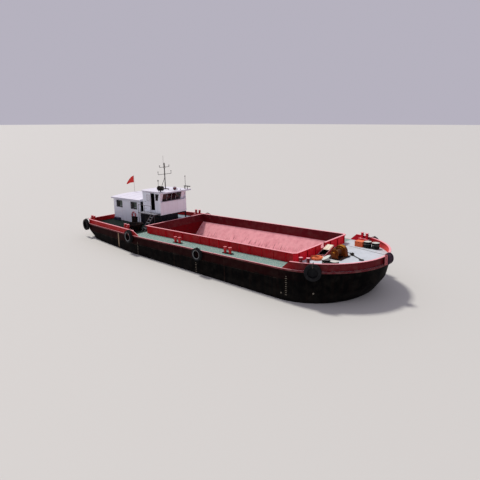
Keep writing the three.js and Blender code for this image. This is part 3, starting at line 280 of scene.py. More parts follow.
class Form:
    """A mesh being built from closed parts. A part's paint is its place in the piece's materials."""

    def __init__(self):
        self.mesh = bmesh.new()

    def points(self, points, place):
        """New vertices, turned and moved by an optional matrix."""
        return [self.mesh.verts.new(place @ Vector(point) if place else point) for point in points]

    def faces(self, rings, paint):
        """New faces of one paint."""
        for ring in rings:
            self.mesh.faces.new(ring).material_index = paint

    def box(self, low, high, place=None, paint=0):
        """A box between two corners."""
        made = self.points(itertools.product(*zip(low, high)), place)
        self.faces([[made[index] for index in ring] for ring in BOX_FACES], paint)

    def turned(self, profile, sides=16, place=None, paint=0):
        """A round body about local Z from (radius, z) points; one that leaves the axis open is a ring."""
        rings = []
        for radius, z in profile:
            turns = [math.tau * side / sides for side in range(sides if radius else 1)]
            rings.append(self.points([(radius * math.cos(t), radius * math.sin(t), z) for t in turns], place))
        pairs = list(zip(rings, rings[1:]))
        if profile[0][0]:
            pairs.append((rings[-1], rings[0]))
        for (near, far), side in itertools.product(pairs, range(sides)):
            corners = [near[side % len(near)], near[(side + 1) % len(near)],
                       far[(side + 1) % len(far)], far[side % len(far)]]
            corners = list(dict.fromkeys(corners))
            if len(corners) > 2:
                self.faces([corners], paint)

    def collar(self, inner, outer, low, high, sides=16, place=None, paint=0):
        """A ring of rectangular section about local Z."""
        self.turned([(inner, low), (outer, low), (outer, high), (inner, high)], sides, place, paint)

    def knob(self, foot, top, height, sides, place=None, paint=0, crown=0.0):
        """A disc or cap on local Z, from its foot's radius to its top's, crowned in the middle."""
        self.turned([(0, 0), (foot, 0), (top, height), (0, height + crown)], sides, place, paint)

    def rod(self, start, end, radius, sides=10, paint=0):
        """A closed round bar."""
        length = (Vector(end) - Vector(start)).length
        self.knob(radius, radius, length, sides, toward(start, end), paint)

    def tube(self, points, radius, sides=8, strands=0, lay=1.0, closed=False):
        """Sweeps a round, or a rope of twisted strands, along a line of points, with UVs in metres."""
        layer = self.mesh.loops.layers.uv.verify()
        count = len(points)
        rings = []
        run = 0.0
        across = None
        for index, point in enumerate(points):
            before = points[index - 1] if index or closed else point
            after = points[(index + 1) % count] if index + 1 < count or closed else point
            along = (after - before).normalized()
            if across is None:
                across = along.orthogonal().normalized()
            across = (across - along * across.dot(along)).normalized()
            other = along.cross(across)
            if index:
                run += (point - points[index - 1]).length
            ring = []
            for side in range(sides):
                turn = math.tau * side / sides
                reach = radius
                if strands:
                    reach *= 0.84 + 0.16 * abs(math.cos(strands * (turn - math.tau * run / lay) / 2))
                ring.append(point + (across * math.cos(turn) + other * math.sin(turn)) * reach)
            rings.append((self.points(ring, None), run))
        spans = list(zip(rings, rings[1:]))
        if closed:
            spans.append((rings[-1], (rings[0][0], run + (points[0] - points[-1]).length)))
        for ((ring, start), (following, end)), side in itertools.product(spans, range(sides)):
            beside = (side + 1) % sides
            face = self.mesh.faces.new((ring[side], ring[beside], following[beside], following[side]))
            near, far = side / sides, (side + 1) / sides
            for loop, uv in zip(face.loops, ((start, near), (start, far), (end, far), (end, near))):
                loop[layer].uv = uv
        if not closed:
            self.faces([list(reversed(rings[0][0])), rings[-1][0]], 0)

    def plate(self, outline, depth, place=None, paint=0):
        """A flat outline of (x, y) points in the local XY plane, raised from depth[0] to depth[1]."""
        low, high = [self.points([(x, y, z) for x, y in outline], place) for z in depth]
        edges = [(low[i - 1], low[i], high[i], high[i - 1]) for i in range(len(low))]
        self.faces([list(reversed(low)), high] + edges, paint)

    def stamp(self, data, place=None, paint=0):
        """Adds a finished mesh."""
        if place:
            data.transform(place)
        start = len(self.mesh.faces)
        self.mesh.from_mesh(data)
        self.mesh.faces.ensure_lookup_table()
        for face in self.mesh.faces[start:]:
            face.material_index = paint

    def finished(self, name):
        """The mesh itself: faces outward, round parts smooth and edges sharp."""
        bmesh.ops.recalc_face_normals(self.mesh, faces=self.mesh.faces)
        for face in self.mesh.faces:
            face.smooth = True
        data = bpy.data.meshes.new(name)
        self.mesh.to_mesh(data)
        self.mesh.free()
        data.set_sharp_from_angle(angle=SHARP_FROM)
        return data

    def put(self, name, body, materials, slot=None):
        """Makes the form a piece of the boat that rides on a body."""
        piece = bpy.data.objects.new(name, self.finished(name))
        scene.collection.objects.link(piece)
        for material in materials:
            piece.data.materials.append(material)
        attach(piece, body)
        return piece


def rope_material(name, light, dark, lay, strands):
    """Twisted rope: darker between the strands, fuzzy and matt."""
    paint = Paint(name, {"Roughness": 0.85})
    uv = paint.add("UVMap")["UV"]
    run = paint.split(uv)
    phase = paint.maths("ADD", paint.times(run["X"], -strands / lay), paint.times(run["Y"], strands))
    fuzz = paint.noise(uv, 90.0, 3.0)
    tone = paint.mix(paint.step(paint.maths("PINGPONG", phase, 1.0), 0.05, 0.6), dark, light)
    return paint.feed({"Base Color": paint.mix(fuzz, tone, light), "Normal": paint.bump(fuzz, 0.4, 0.004)})


route = rope_route()
form = Form()
form.tube(route, ROPE_THICK / 2, sides=12, strands=3, lay=ROPE_LAY)
rope_orange = rope_material("rope_orange", colour(240, 134, 82), colour(164, 76, 42), ROPE_LAY, 3)
mooring_rope = form.put("mooring_rope", "hull", [rope_orange], "ring_orange")

tape = Paint("rope_tape", {"Roughness": 0.55})
tape.feed({"Base Color": tape.mix(tape.noise(None, 60.0, 4.0), colour(28, 28, 30), colour(58, 56, 54))})
form = Form()
end_steps = math.ceil(TAPE_LENGTH / (route[1] - route[0]).length) + 1
for end in (route[:end_steps], route[-end_steps:]):
    form.tube(end, ROPE_THICK / 2 + TAPE_THICK, sides=14)
rope_ends = form.put("mooring_rope_tape", "hull", [tape.material])
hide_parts("mooring_rope_coil")


# Hull: welded mild steel in three blocks. Black topsides with a band of dark red under the strake,
# green side decks, a pale fore deck, and a hold scoured to a dusty pink by the cargo.
def new_group(name, inputs, outputs):
    """An empty shader node group with float inputs and outputs, and its inputs' sockets."""
    tree = bpy.data.node_groups.new(name, "ShaderNodeTree")
    for label, default in inputs.items():
        socket = tree.interface.new_socket(label, in_out="INPUT", socket_type="NodeSocketFloat")
        socket.default_value = default
    for label in outputs:
        tree.interface.new_socket(label, in_out="OUTPUT", socket_type="NodeSocketFloat")
    group = Nodes(tree)
    return group, group.add("NodeGroupInput")


def weather_group():
    """Weather on steel: broad fading, small chips, runs down walls, dirt in hollows of the noise."""
    labels = ("Fading", "Chips", "Runs", "Dirt", "Grain")
    group, given = new_group("weather", {"Size": 1.0, "Seed": 0.0}, labels)
    seed = given["Seed"]
    sized = {0: group.add("TexCoord")["Object"], "Scale": given["Size"]}
    flat = group.add("VectorMath", sized, operation="SCALE")["Vector"]
    tall = group.add("Mapping", {"Vector": flat, "Scale": (3.2, 3.2, 0.22)})["Vector"]
    group.add("NodeGroupOutput", {
        "Fading": group.noise(flat, 0.45, 5.0, 0.6, seed),
        "Chips": group.step(group.noise(flat, 7.0, 6.0, 0.7, seed), 0.60, 0.70),
        "Runs": group.step(group.noise(tall, 1.6, 5.0, 0.5, seed), 0.48, 0.72),
        "Dirt": group.step(group.noise(flat, 1.7, 8.0, 0.72, seed), 0.45, 0.72),
        "Grain": group.noise(flat, 26.0, 5.0),
    })
    return group.tree


def edge_group():
    """Where paint has worn off an edge: the surface bends there, and a noise breaks the line."""
    group, given = new_group("edge_wear", {"Width": 0.03, "Amount": 1.0}, ("Worn",))
    rounded = group.add("Bevel", {"Radius": given["Width"]}, samples=4)["Normal"]
    normals = {0: rounded, 1: group.add("NewGeometry")["Normal"]}
    same = group.add("VectorMath", normals, operation="DOT_PRODUCT")["Value"]
    broken = group.noise(group.add("TexCoord")["Object"], 3.5, 6.0)
    worn = group.times(group.step(same, 0.995, 0.90), group.step(broken, 0.44, 0.60), given["Amount"])
    group.add("NodeGroupOutput", {"Worn": worn})
    return group.tree


WEATHER = weather_group()
EDGE_WEAR = edge_group()
EDGE_WIDTH = 0.03
RUST = colour(112, 62, 38)
DUST = colour(176, 166, 152)


def weather(paint, size, seed):
    """The masks of the shared weather group."""
    return paint.add("Group", {"Size": size, "Seed": seed}, node_tree=WEATHER)


def finish(paint, tone, size=1.0, seed=0.0, bare=RUST, chips=0.35, runs=0.25, dirt=0.2, soil=DUST,
           wear=0.7, gloss=0.45, shine=0.12):
    """Weathers a colour and feeds the shader: dirt, runs, chips, worn edges and fine relief."""
    masks = weather(paint, size, seed)
    worn = paint.add("Group", {"Width": EDGE_WIDTH, "Amount": wear}, node_tree=EDGE_WEAR)["Worn"]
    tone = paint.mix(paint.times(masks["Dirt"], dirt), tone, soil)
    tone = paint.mix(paint.times(masks["Runs"], runs), tone, bare)
    off = paint.maths("MAXIMUM", paint.times(masks["Chips"], chips), worn)
    rough = paint.add("MapRange", {
        "Value": paint.maths("ADD", masks["Fading"], paint.times(off, 0.5)),
        "From Min": 0.3, "From Max": 1.0, "To Min": gloss, "To Max": min(0.95, gloss + 0.3),
    })[0]
    return paint.feed({
        "Base Color": paint.mix(off, tone, bare), "Roughness": rough, "Specular IOR Level": shine,
        "Normal": paint.bump(paint.maths("SUBTRACT", masks["Grain"], off), 0.5, 0.002),
    })


def painted(name, base, pale=None, **values):
    """Weathered paint of one colour, or one made pale where it faces up, as a painted highlight."""
    paint = Paint(name)
    return finish(paint, paint.mix(paint.up(), base, pale) if pale else base, **values)


def paint_nodes(material, *names):
    """Gives CAD nodes a finish in place of the plain one they came with."""
    for name in names:
        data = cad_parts[name].data
        data.materials.clear()
        data.materials.append(material)


HULL_BLACK = colour(4, 4, 5)
HULL_BAND = colour(34, 9, 10)
BAND_Z = (1.98, 2.08)
BAND_END_X = (12.6, 8.0)
SCUM = colour(27, 26, 24)
SCUM_Z = (1.35, 0.85)
STAIN_X = -9.75
STAIN_EDGE = (0.14, 0.03)
STAIN_Z = (1.0, 1.6)
STAIN_CREAM = colour(176, 152, 126)
DECK_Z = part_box("hull_hold_block")[1].z
HOLD_HALF = 3.80
HOLD_X = [corner.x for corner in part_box("hold_coaming")]
HOLD_Z = (0.2, DECK_Z - 0.005)
DECK_GREEN = colour(92, 132, 126)
DECK_GREEN_WORN = colour(166, 178, 170)
DECK_PALE = colour(196, 203, 210)
DECK_PALE_DIRT = colour(160, 164, 168)
DECK_PALE_X = (10.35, 10.75)
# The dark aft deck is partly dark green paint and partly painted shadow of the houses; the paler port colour
# aft is painted sunlight where that shadow does not fall.
DECK_DARK = colour(8, 25, 21)
DECK_DARK_X = (-6.9, -7.3)
PORT_DECK_Y = (2.1, 2.5)
PORT_DECK_X = (-5.5, -7.0)
PORT_DECK = colour(128, 142, 152)
PORT_DECK_LONGER = 4.6
HOLD_RED = colour(106, 13, 22)
HOLD_PINK = colour(236, 170, 175)
HOLD_PINK_DIRT = colour(212, 138, 146)
HOLD_SCRATCH = colour(112, 46, 58)
SCRATCH_Z = (2.3, 1.5)


def hold_colour(paint, z):
    """The hold: dark red plating, and slopes scoured pink with the grab's dark scratches."""
    down = paint.add("Mapping", {
        "Vector": paint.add("TexCoord")["Object"], "Rotation": (0, 0, math.radians(8)),
        "Scale": (7.0, 0.9, 0.9),
    })["Vector"]
    strokes = paint.ramp(paint.noise(down, 1.1, 8.0, 0.75), 0.50, 0.66)
    scratch = paint.times(strokes, paint.ramp(z, *SCRATCH_Z), 0.9)
    dusty = paint.mix(weather(paint, 1.3, 4.0)["Dirt"], HOLD_PINK, HOLD_PINK_DIRT)
    slope = paint.ramp(paint.facing()["Z"], 0.3, 0.6)
    return paint.mix(slope, HOLD_RED, paint.mix(scratch, dusty, HOLD_SCRATCH))


def hull_material():
    """One finish for the three hull blocks, chosen by where the point is and which way it faces."""
    paint = Paint("hull_paint")
    at = paint.place()
    masks = weather(paint, 0.8, 2.0)
    band_line = paint.maths("ADD", at["Z"], paint.times(masks["Dirt"], 0.12))
    band = paint.times(paint.ramp(band_line, *BAND_Z), paint.ramp(at["X"], *BAND_END_X))
    side = paint.mix(band, HULL_BLACK, HULL_BAND)
    side = paint.mix(paint.times(paint.ramp(at["Z"], *SCUM_Z), 0.3), side, SCUM)
    off_stain = paint.maths("ABSOLUTE", paint.maths("SUBTRACT", at["X"], STAIN_X))
    stain = paint.times(paint.ramp(off_stain, *STAIN_EDGE), paint.ramp(at["Z"], *STAIN_Z),
                        paint.ramp(masks["Grain"], 0.30, 0.52))
    side = paint.mix(stain, side, STAIN_CREAM)
    green = paint.mix(paint.ramp(masks["Grain"], 0.42, 0.62), DECK_GREEN, DECK_GREEN_WORN)
    pale = paint.mix(paint.times(masks["Dirt"], 0.5), DECK_PALE, DECK_PALE_DIRT)
    deck = paint.mix(paint.ramp(at["X"], *DECK_PALE_X), green, pale)
    # Aft of the houses' shadow line the deck is painted dark as shadow; to port that line lies further aft,
    # and the deck there is painted paler as sunlight.
    port = paint.ramp(at["Y"], *PORT_DECK_Y)
    deck = paint.mix(paint.times(port, paint.ramp(at["X"], *PORT_DECK_X)), deck, PORT_DECK)
    dark_line = paint.maths("ADD", at["X"], paint.times(port, PORT_DECK_LONGER))
    deck = paint.mix(paint.ramp(dark_line, *DECK_DARK_X), deck, DECK_DARK)
    on_deck = paint.times(paint.up(), paint.ramp(at["Z"], DECK_Z - 0.02, DECK_Z - 0.01))
    half = paint.maths("ABSOLUTE", at["Y"])
    inside = paint.times(paint.maths("LESS_THAN", half, HOLD_HALF), *paint.tests(at, X=HOLD_X, Z=HOLD_Z))
    tone = paint.mix(inside, paint.mix(on_deck, side, deck), hold_colour(paint, at["Z"]))
    return finish(paint, tone, chips=0.12, runs=0.08, dirt=0.05, soil=colour(120, 112, 100),
                  bare=colour(70, 46, 36), wear=0.25, gloss=0.6, shine=0.03)


paint_nodes(hull_material(), "hull_bow_block", "hull_hold_block", "hull_stern_block")


# Rubbing strake, coaming and bulwarks: red oxide enamel, bleached pink on top where sun and boots
# reach it, the pink tops also a painted highlight, and rubbed to bare primer along the edges.
RAIL_RED = colour(134, 10, 18)
STERN_RED = colour(168, 14, 20)
# The pink of the tops is bleached paint and also a painted highlight
RAIL_PINK = colour(238, 164, 172)
RAIL_CREAM = colour(246, 222, 196)
STRAKE_RED = colour(96, 30, 38)
STRAKE_SHADE = colour(112, 32, 44)
COAMING_RED = colour(172, 17, 26)
COAMING_FORE_LIT = colour(232, 26, 48)
COAMING_BARE = colour(72, 24, 22)
COAMING_HALF = HOLD_HALF - 0.07
COAMING_X = (HOLD_X[0] + 0.14, HOLD_X[1] - 0.14)
CHAMFER_INNER = 14.22
HOLD_SHADE = colour(92, 12, 24)
BOW_INNER_LIT = colour(214, 22, 44)
BOW_LIT = colour(236, 84, 72)
BOW_SHADE = colour(94, 7, 20)
BULWARK_BARE = colour(92, 28, 26)


def strake_material():
    """Dark red, the tops bleached pink with a painted highlight as far as the bow, where they take a painted
    shade for the flare's shadow.
    """
    paint = Paint("strake_paint")
    top = paint.mix(paint.ramp(paint.place()["X"], 12.2, 13.6), RAIL_PINK, STRAKE_SHADE)
    return finish(paint, paint.mix(paint.up(), STRAKE_RED, top), chips=0.5, runs=0.1, dirt=0.25,
                  bare=colour(112, 44, 40), wear=0.4, seed=1.0)


def coaming_material():
    """Bright red outside, painted lighter on the faces ahead as light on them, a darker red inside the hold
    as painted shade, and pink along the top, bleached and painted as a highlight.
    """
    paint = Paint("coaming_paint")
    at = paint.place()
    half = paint.maths("ABSOLUTE", at["Y"])
    inside = paint.times(
        paint.maths("LESS_THAN", half, COAMING_HALF), *paint.tests(at, X=COAMING_X),
        paint.maths("LESS_THAN", paint.maths("ADD", at["X"], half), CHAMFER_INNER),
    )
    # Faces ahead are painted lighter, as light falling on them
    tone = paint.mix(paint.ramp(paint.facing()["X"], 0.5, 0.8), COAMING_RED, COAMING_FORE_LIT)
    # Inside the hold the colour is painted shade; on top, bleached pink with a painted highlight
    tone = paint.mix(paint.up(), paint.mix(inside, tone, HOLD_SHADE), RAIL_PINK)
    return finish(paint, tone, chips=0.3, runs=0.2, dirt=0.1, bare=COAMING_BARE, wear=0.25, seed=3.0)


def bow_bulwark_material():
    """Red with painted light on the inside of the bow, brightest near the stem, painted shade on its outer
    side forward, and pink along the cap, bleached and painted as a highlight.
    """
    paint = Paint("bow_bulwark_paint")
    at = paint.place()
    normal = paint.facing()
    out = paint.maths("ADD", paint.times(normal["X"], paint.maths("SUBTRACT", at["X"], 9.0)),
                      paint.times(normal["Y"], at["Y"]))
    # The outer side forward is painted dark as shade
    painted_shade_side = paint.times(paint.ramp(out, 0.2, 1.5), paint.ramp(at["X"], 10.4, 12.4))
    # The inner side is painted bright as light falling on it, brightest forward
    inner = paint.mix(paint.ramp(at["X"], 12.6, 15.4), BOW_INNER_LIT, BOW_LIT)
    tone = paint.mix(paint.ramp(out, -0.2, -1.5), RAIL_RED, inner)
    tone = paint.mix(paint.up(), paint.mix(painted_shade_side, tone, BOW_SHADE), RAIL_PINK)
    return finish(paint, tone, chips=0.3, runs=0.15, dirt=0.1, bare=BULWARK_BARE, wear=0.4, seed=5.0)


def stern_bulwark_material():
    """Red, pink along the cap, bleached and painted as a highlight, and worn to cream blotches on the cap
    right aft.
    """
    paint = Paint("stern_bulwark_paint")
    blotch = paint.times(paint.ramp(weather(paint, 1.6, 15.0)["Chips"], 0.1, 0.5),
                         paint.ramp(paint.place()["X"], -9.6, -10.2))
    # The pink cap is bleached paint and also a painted highlight
    tone = paint.mix(paint.up(), STERN_RED, paint.mix(blotch, RAIL_PINK, RAIL_CREAM))
    return finish(paint, tone, chips=0.3, runs=0.15, dirt=0.1, bare=BULWARK_BARE, wear=0.3, seed=5.0)


paint_nodes(strake_material(), "rubbing_strake")
paint_nodes(coaming_material(), "hold_coaming")
paint_nodes(bow_bulwark_material(), "bow_bulwark")
paint_nodes(stern_bulwark_material(), "stern_bulwark")


# Hull marks: cream draught ticks welded on at the bow, amidships and at the quarter, weld beads where
# the side plates meet, and the pale rims of two overboard discharges on each side of the bow.
AHEAD, ABEAM, UP = Vector((1, 0, 0)), Vector((0, 1, 0)), Vector((0, 0, 1))
SIDES = (("starboard", -1), ("port", 1))


def repeat_tree(name, fields, lay):
    """A Geometry Nodes tree that sets a unit on points, turned, makes it real and coats it.

    lay gets the nodes and the inputs' sockets, and gives the points, the unit and its turn.
    """
    tree = bpy.data.node_groups.new(name, "GeometryNodeTree")
    for label, kind, way in (("Geometry", "Geometry", "INPUT"), *[(*field, "INPUT") for field in fields],
                             ("Finish", "Material", "INPUT"), ("Geometry", "Geometry", "OUTPUT")):
        tree.interface.new_socket(label, in_out=way, socket_type="NodeSocket" + kind)
    nodes = Nodes(tree)
    given = nodes.add("NodeGroupInput")
    points, unit, turn = lay(nodes, given)
    placed = nodes.add("GeometryNodeInstanceOnPoints", {"Points": points, "Instance": unit, "Rotation": turn})
    real = nodes.add("GeometryNodeRealizeInstances", {"Geometry": placed[0]})[0]
    coated = nodes.add("GeometryNodeSetMaterial", {"Geometry": real, "Material": given["Finish"]})[0]
    nodes.add("NodeGroupOutput", {"Geometry": coated})
    return tree


def lay_ring(nodes, given):
    """Points round local Z at a radius, each turned to face outward."""
    circle = nodes.add("GeometryNodeMeshCircle", {"Vertices": given["Count"], "Radius": given["Radius"]})
    share = nodes.maths("DIVIDE", nodes.add("GeometryNodeInputIndex")[0], given["Count"])
    turn = nodes.add("CombineXYZ", {"Z": nodes.times(share, math.tau)})[0]
    return circle["Mesh"], given["Geometry"], turn


def lay_row(nodes, given):
    """Points in a straight row."""
    line = nodes.add("GeometryNodeMeshLine", {"Count": given["Count"], "Offset": given["Step"]})
    return line["Mesh"], given["Geometry"], None


def lay_chain(nodes, given):
    """Welded links along a path, each turned a quarter from its neighbour."""
    path = nodes.add("GeometryNodeMeshToCurve", {"Mesh": given["Geometry"]})[0]
    points = nodes.add("GeometryNodeCurveToPoints", {"Curve": path, "Length": given["Pitch"]}, mode="LENGTH")
    size = {"Width": given["Long"], "Height": given["Wide"]}
    oval = nodes.add("GeometryNodeFilletCurve", {
        "Curve": nodes.add("GeometryNodeCurvePrimitiveQuadrilateral", size)[0],
        "Radius": nodes.times(given["Wide"], 0.48), "Count": 3,
    }, mode="POLY")[0]
    section = nodes.add("GeometryNodeCurvePrimitiveCircle", {"Resolution": 6, "Radius": given["Wire"]})[0]
    link = nodes.add("GeometryNodeCurveToMesh", {"Curve": oval, "Profile Curve": section})[0]
    upright = nodes.add("GeometryNodeTransform", {"Geometry": link, "Rotation": (0, math.pi / 2, 0)})[0]
    odd = nodes.maths("MODULO", nodes.add("GeometryNodeInputIndex")[0], 2.0)
    roll = nodes.add("CombineXYZ", {"Z": nodes.times(odd, math.pi / 2)})[0]
    turn = nodes.add("FunctionNodeRotateRotation", {
        "Rotation": points["Rotation"], "Rotate By": nodes.add("FunctionNodeEulerToRotation", {0: roll})[0],
    }, rotation_space="LOCAL")[0]
    return points["Points"], upright, turn


RING = repeat_tree("ring_of", [("Count", "Int"), ("Radius", "Float")], lay_ring)
ROW = repeat_tree("row_of", [("Count", "Int"), ("Step", "Vector")], lay_row)
CHAIN = repeat_tree("chain_of", [(label, "Float") for label in ("Wire", "Long", "Wide", "Pitch")], lay_chain)


def repeat(unit, tree, **values):
    """Runs a repeat tree on a mesh and returns the plain mesh that it makes."""
    carrier = bpy.data.objects.new("repeat", unit)
    scene.collection.objects.link(carrier)
    modifier = carrier.modifiers.new("repeat", "NODES")
    modifier.node_group = tree
    for item in tree.interface.items_tree:
        if item.in_out == "INPUT" and item.name in values:
            modifier[item.identifier] = values[item.name]
    ready = carrier.evaluated_get(bpy.context.evaluated_depsgraph_get())
    made = bpy.data.meshes.new_from_object(ready)
    bpy.data.objects.remove(carrier)
    return made


LINK_LONG = 8.0
LINK_WIDE = 5.2
LINK_PITCH = 6.2


def chain(paths, wire, finish_with):
    """A mesh of chain along lists of points, link for link."""
    lines = bmesh.new()
    for path in paths:
        made = [lines.verts.new(point) for point in path]
        for pair in zip(made, made[1:]):
            lines.edges.new(pair)
    data = bpy.data.meshes.new("path")
    lines.to_mesh(data)
    lines.free()
    sizes = {"Long": wire * LINK_LONG, "Wide": wire * LINK_WIDE, "Pitch": wire * LINK_PITCH}
    return repeat(data, CHAIN, Wire=wire, Finish=finish_with, **sizes)


HALF_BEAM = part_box("hull_hold_block")[1].y
BOW_CENTRE_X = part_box("hull_hold_block")[1].x
BOW_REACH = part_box("hull_bow_block")[1].x - BOW_CENTRE_X
STERN_JOINT_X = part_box("hull_hold_block")[0].x
STERN_TAPER = 0.8 / 8.9
TICKS = (
    # x, top of the column
    (10.8, 2.30), (1.66, 1.75), (-6.30, 2.20),
)
TICK_COUNT = 10
TICK_LOW = 0.85
TICK_STEP = 0.15
TICK_HALF = (0.080, 0.045)
TICK_THICK = 0.006
TICK_HIGH = 0.03
DISCHARGES = ((10.40, 0.95), (12.70, 1.20))
WELD_X = (-11.2, -7.0, -1.1, 4.9)
WELD_Z = (0.45, 2.66)
WELD_LONG_X = (-15.2, -7.0, 0.0, 10.1)
WELD_LONG_Z = 1.95
WELD_RADIUS = 0.007
DECK_SEAM = ((11.03, 3.04), (14.90, 2.07))


def plating_y(x):
    """The half beam of the hull plating at a station."""
    if x > BOW_CENTRE_X:
        return HALF_BEAM * math.sqrt(max(0.0, 1 - ((x - BOW_CENTRE_X) / BOW_REACH) ** 2))
    return HALF_BEAM - max(0.0, STERN_JOINT_X - x) * STERN_TAPER


form = Form()
for _, side in SIDES:
    for x, top in TICKS:
        for step in range(TICK_COUNT):
            half, z = TICK_HALF[step % 2], TICK_LOW + step * TICK_STEP
            if z < top:
                lean = STERN_TAPER if x < STERN_JOINT_X else 0.0
                place = Matrix.Translation((x, side * plating_y(x), z)) @ Matrix.Rotation(side * lean, 4, "Z")
                form.box((-half, -TICK_THICK, 0), (half, TICK_THICK, TICK_HIGH), place)
    for x, z in DISCHARGES:
        y = side * (plating_y(x) - 0.05)
        form.collar(0.030, 0.050, 0, 0.070, 16, toward((x, y, z), (x, y + side, z)))
marks_paint = painted("marks_cream", colour(142, 134, 118), dirt=0.5, chips=0.5, wear=0.0)
form.put("hull_marks", "hull", [marks_paint], "hull_black")

form = Form()
for _, side in SIDES:
    for x in WELD_X:
        form.rod(*[(x, side * plating_y(x), z) for z in WELD_Z], WELD_RADIUS, 6)
    form.tube([Vector((x, side * plating_y(x), WELD_LONG_Z)) for x in WELD_LONG_X], WELD_RADIUS, 6)
form.tube([Vector((x, y, DECK_Z + 0.004)) for x, y in DECK_SEAM], 2 * WELD_RADIUS, 6)
weld_paint = painted("weld_black", colour(20, 19, 19), chips=0.7, runs=0.4, wear=0.2)
form.put("hull_welds", "hull", [weld_paint], "hull_black")


# Bollards: steel tube posts with cast heads on black base plates, painted red and worn bare where the ropes
# run, more orange at the stern. Their pink tops are a painted highlight; the black base also stands for
# shade.
BASE_TOP_Z = DECK_Z + 0.045


def bollard_material():
    """Red above the base plate, black on it as paint and as painted shade, pink on top as a painted
    highlight.
    """
    paint = Paint("bollard_paint")
    at = paint.place()
    red = paint.mix(paint.ramp(at["X"], -12.0, -14.0), colour(196, 24, 34), colour(252, 84, 42))
    # Pink on the up-facing tops is a painted highlight
    body = paint.mix(paint.up(), red, colour(206, 120, 124))
    # The black below the base plate's top is paint and also painted shade at the foot
    low = paint.ramp(at["Z"], BASE_TOP_Z + 0.002, BASE_TOP_Z - 0.002)
    return finish(paint, paint.mix(low, body, colour(16, 15, 16)), chips=0.6, runs=0.1,
                  bare=colour(96, 62, 50), wear=0.6, gloss=0.4)


paint_nodes(bollard_material(), *[f"bollard_{hand}_{end}" for hand, _ in SIDES for end in ("fore", "aft")])


# Tyre fenders: worn truck tyres, hollow inside their beads, with the tread left on. Those at the
# quarter and the waist show a grey bead ring. Each hangs by a loop of chain that runs inboard.
TYRES = (
    # place, radius, turn of its axis in degrees, chain's anchor inboard and height, closed back, bead
    ("stern", 0.600, 95.14, -0.30, 3.28, 0.05, False),
    ("quarter", 0.615, 95.14, -0.42, 3.28, 0.0, True),
    ("waist", 0.540, 90.0, -0.36, 2.815, 0.0, True),
    ("bow", 0.600, None, -0.42, 3.37, 0.06, False),
)
TYRE_HOLE = 0.60
TYRE_HALF = 0.22
TYRE_SIDES = 44
TREAD_PITCHES = 40
TREAD_RADIUS = 0.985
# The carcass's outer side and inner side, in shares of the radius across and of the half width along
CARCASS_OUT = ((0.60, 0.72), (0.63, 0.92), (0.72, 1.0), (0.84, 1.0), (0.93, 0.90), (0.97, 0.74), (0.985, 0.5))
CARCASS_IN = ((0.62, 0.60), (0.74, 0.84), (0.86, 0.76), (0.92, 0.40))
CARCASS = [
    *[(r, -z) for r, z in CARCASS_OUT], *reversed(CARCASS_OUT),
    *CARCASS_IN, *[(r, -z) for r, z in reversed(CARCASS_IN)],
]
BEAD = ((0.60, 0.90), (0.66, 1.04), (0.71, 1.04), (0.68, 0.90))
CHAIN_WIRE = 0.009
CHAIN_TOP = 0.80
CHAIN_LOOP = 0.27


def tyre_rubber():
    """Sun-bleached black rubber with dried mud in its hollows."""
    paint = Paint("tyre_rubber_worn", {"Roughness": 0.82, "Specular IOR Level": 0.1})
    masks = weather(paint, 3.0, 7.0)
    tone = paint.mix(masks["Fading"], colour(16, 17, 19), colour(34, 35, 38))
    return paint.feed({
        "Base Color": paint.mix(paint.times(masks["Dirt"], 0.3), tone, colour(70, 68, 66)),
        "Normal": paint.bump(masks["Grain"], 0.6, 0.004),
    })


rubber = tyre_rubber()
bead_grey = painted("tyre_bead_grey", colour(112, 116, 118), size=3.0, chips=0.3, dirt=0.6, wear=0.0,
                    bare=colour(40, 40, 42), gloss=0.7)
chain_steel = painted("chain_rust", colour(74, 62, 56), size=4.0, chips=0.9, runs=0.2, dirt=0.5, wear=0.0)


def tread_mesh(radius):
    """Two staggered rows of lugs round a tyre."""
    half = radius * TYRE_HALF
    lug = Form()
    lug.box((-0.02, -0.026, -0.86 * half), (0.010, 0.022, -0.06 * half))
    lug.box((-0.02, -0.004, 0.06 * half), (0.010, 0.044, 0.86 * half))
    return repeat(lug.finished("lug"), RING, Count=TREAD_PITCHES, Radius=radius * TREAD_RADIUS, Finish=rubber)


def sweep(start, end, steps):
    """The turns from one to another in even steps."""
    return [start + (end - start) * step / steps for step in range(steps + 1)]


def arc(centre, first, second, turns):
    """Points on an ellipse about a centre, its half axes given as vectors."""
    return [centre + first * math.cos(turn) + second * math.sin(turn) for turn in turns]


def bow_turn(x):
    """Which way the bow's side faces in plan at a station."""
    rise = (x - BOW_CENTRE_X) / BOW_REACH
    return math.atan2(math.sqrt(1 - rise ** 2) / HALF_BEAM, rise / BOW_REACH)


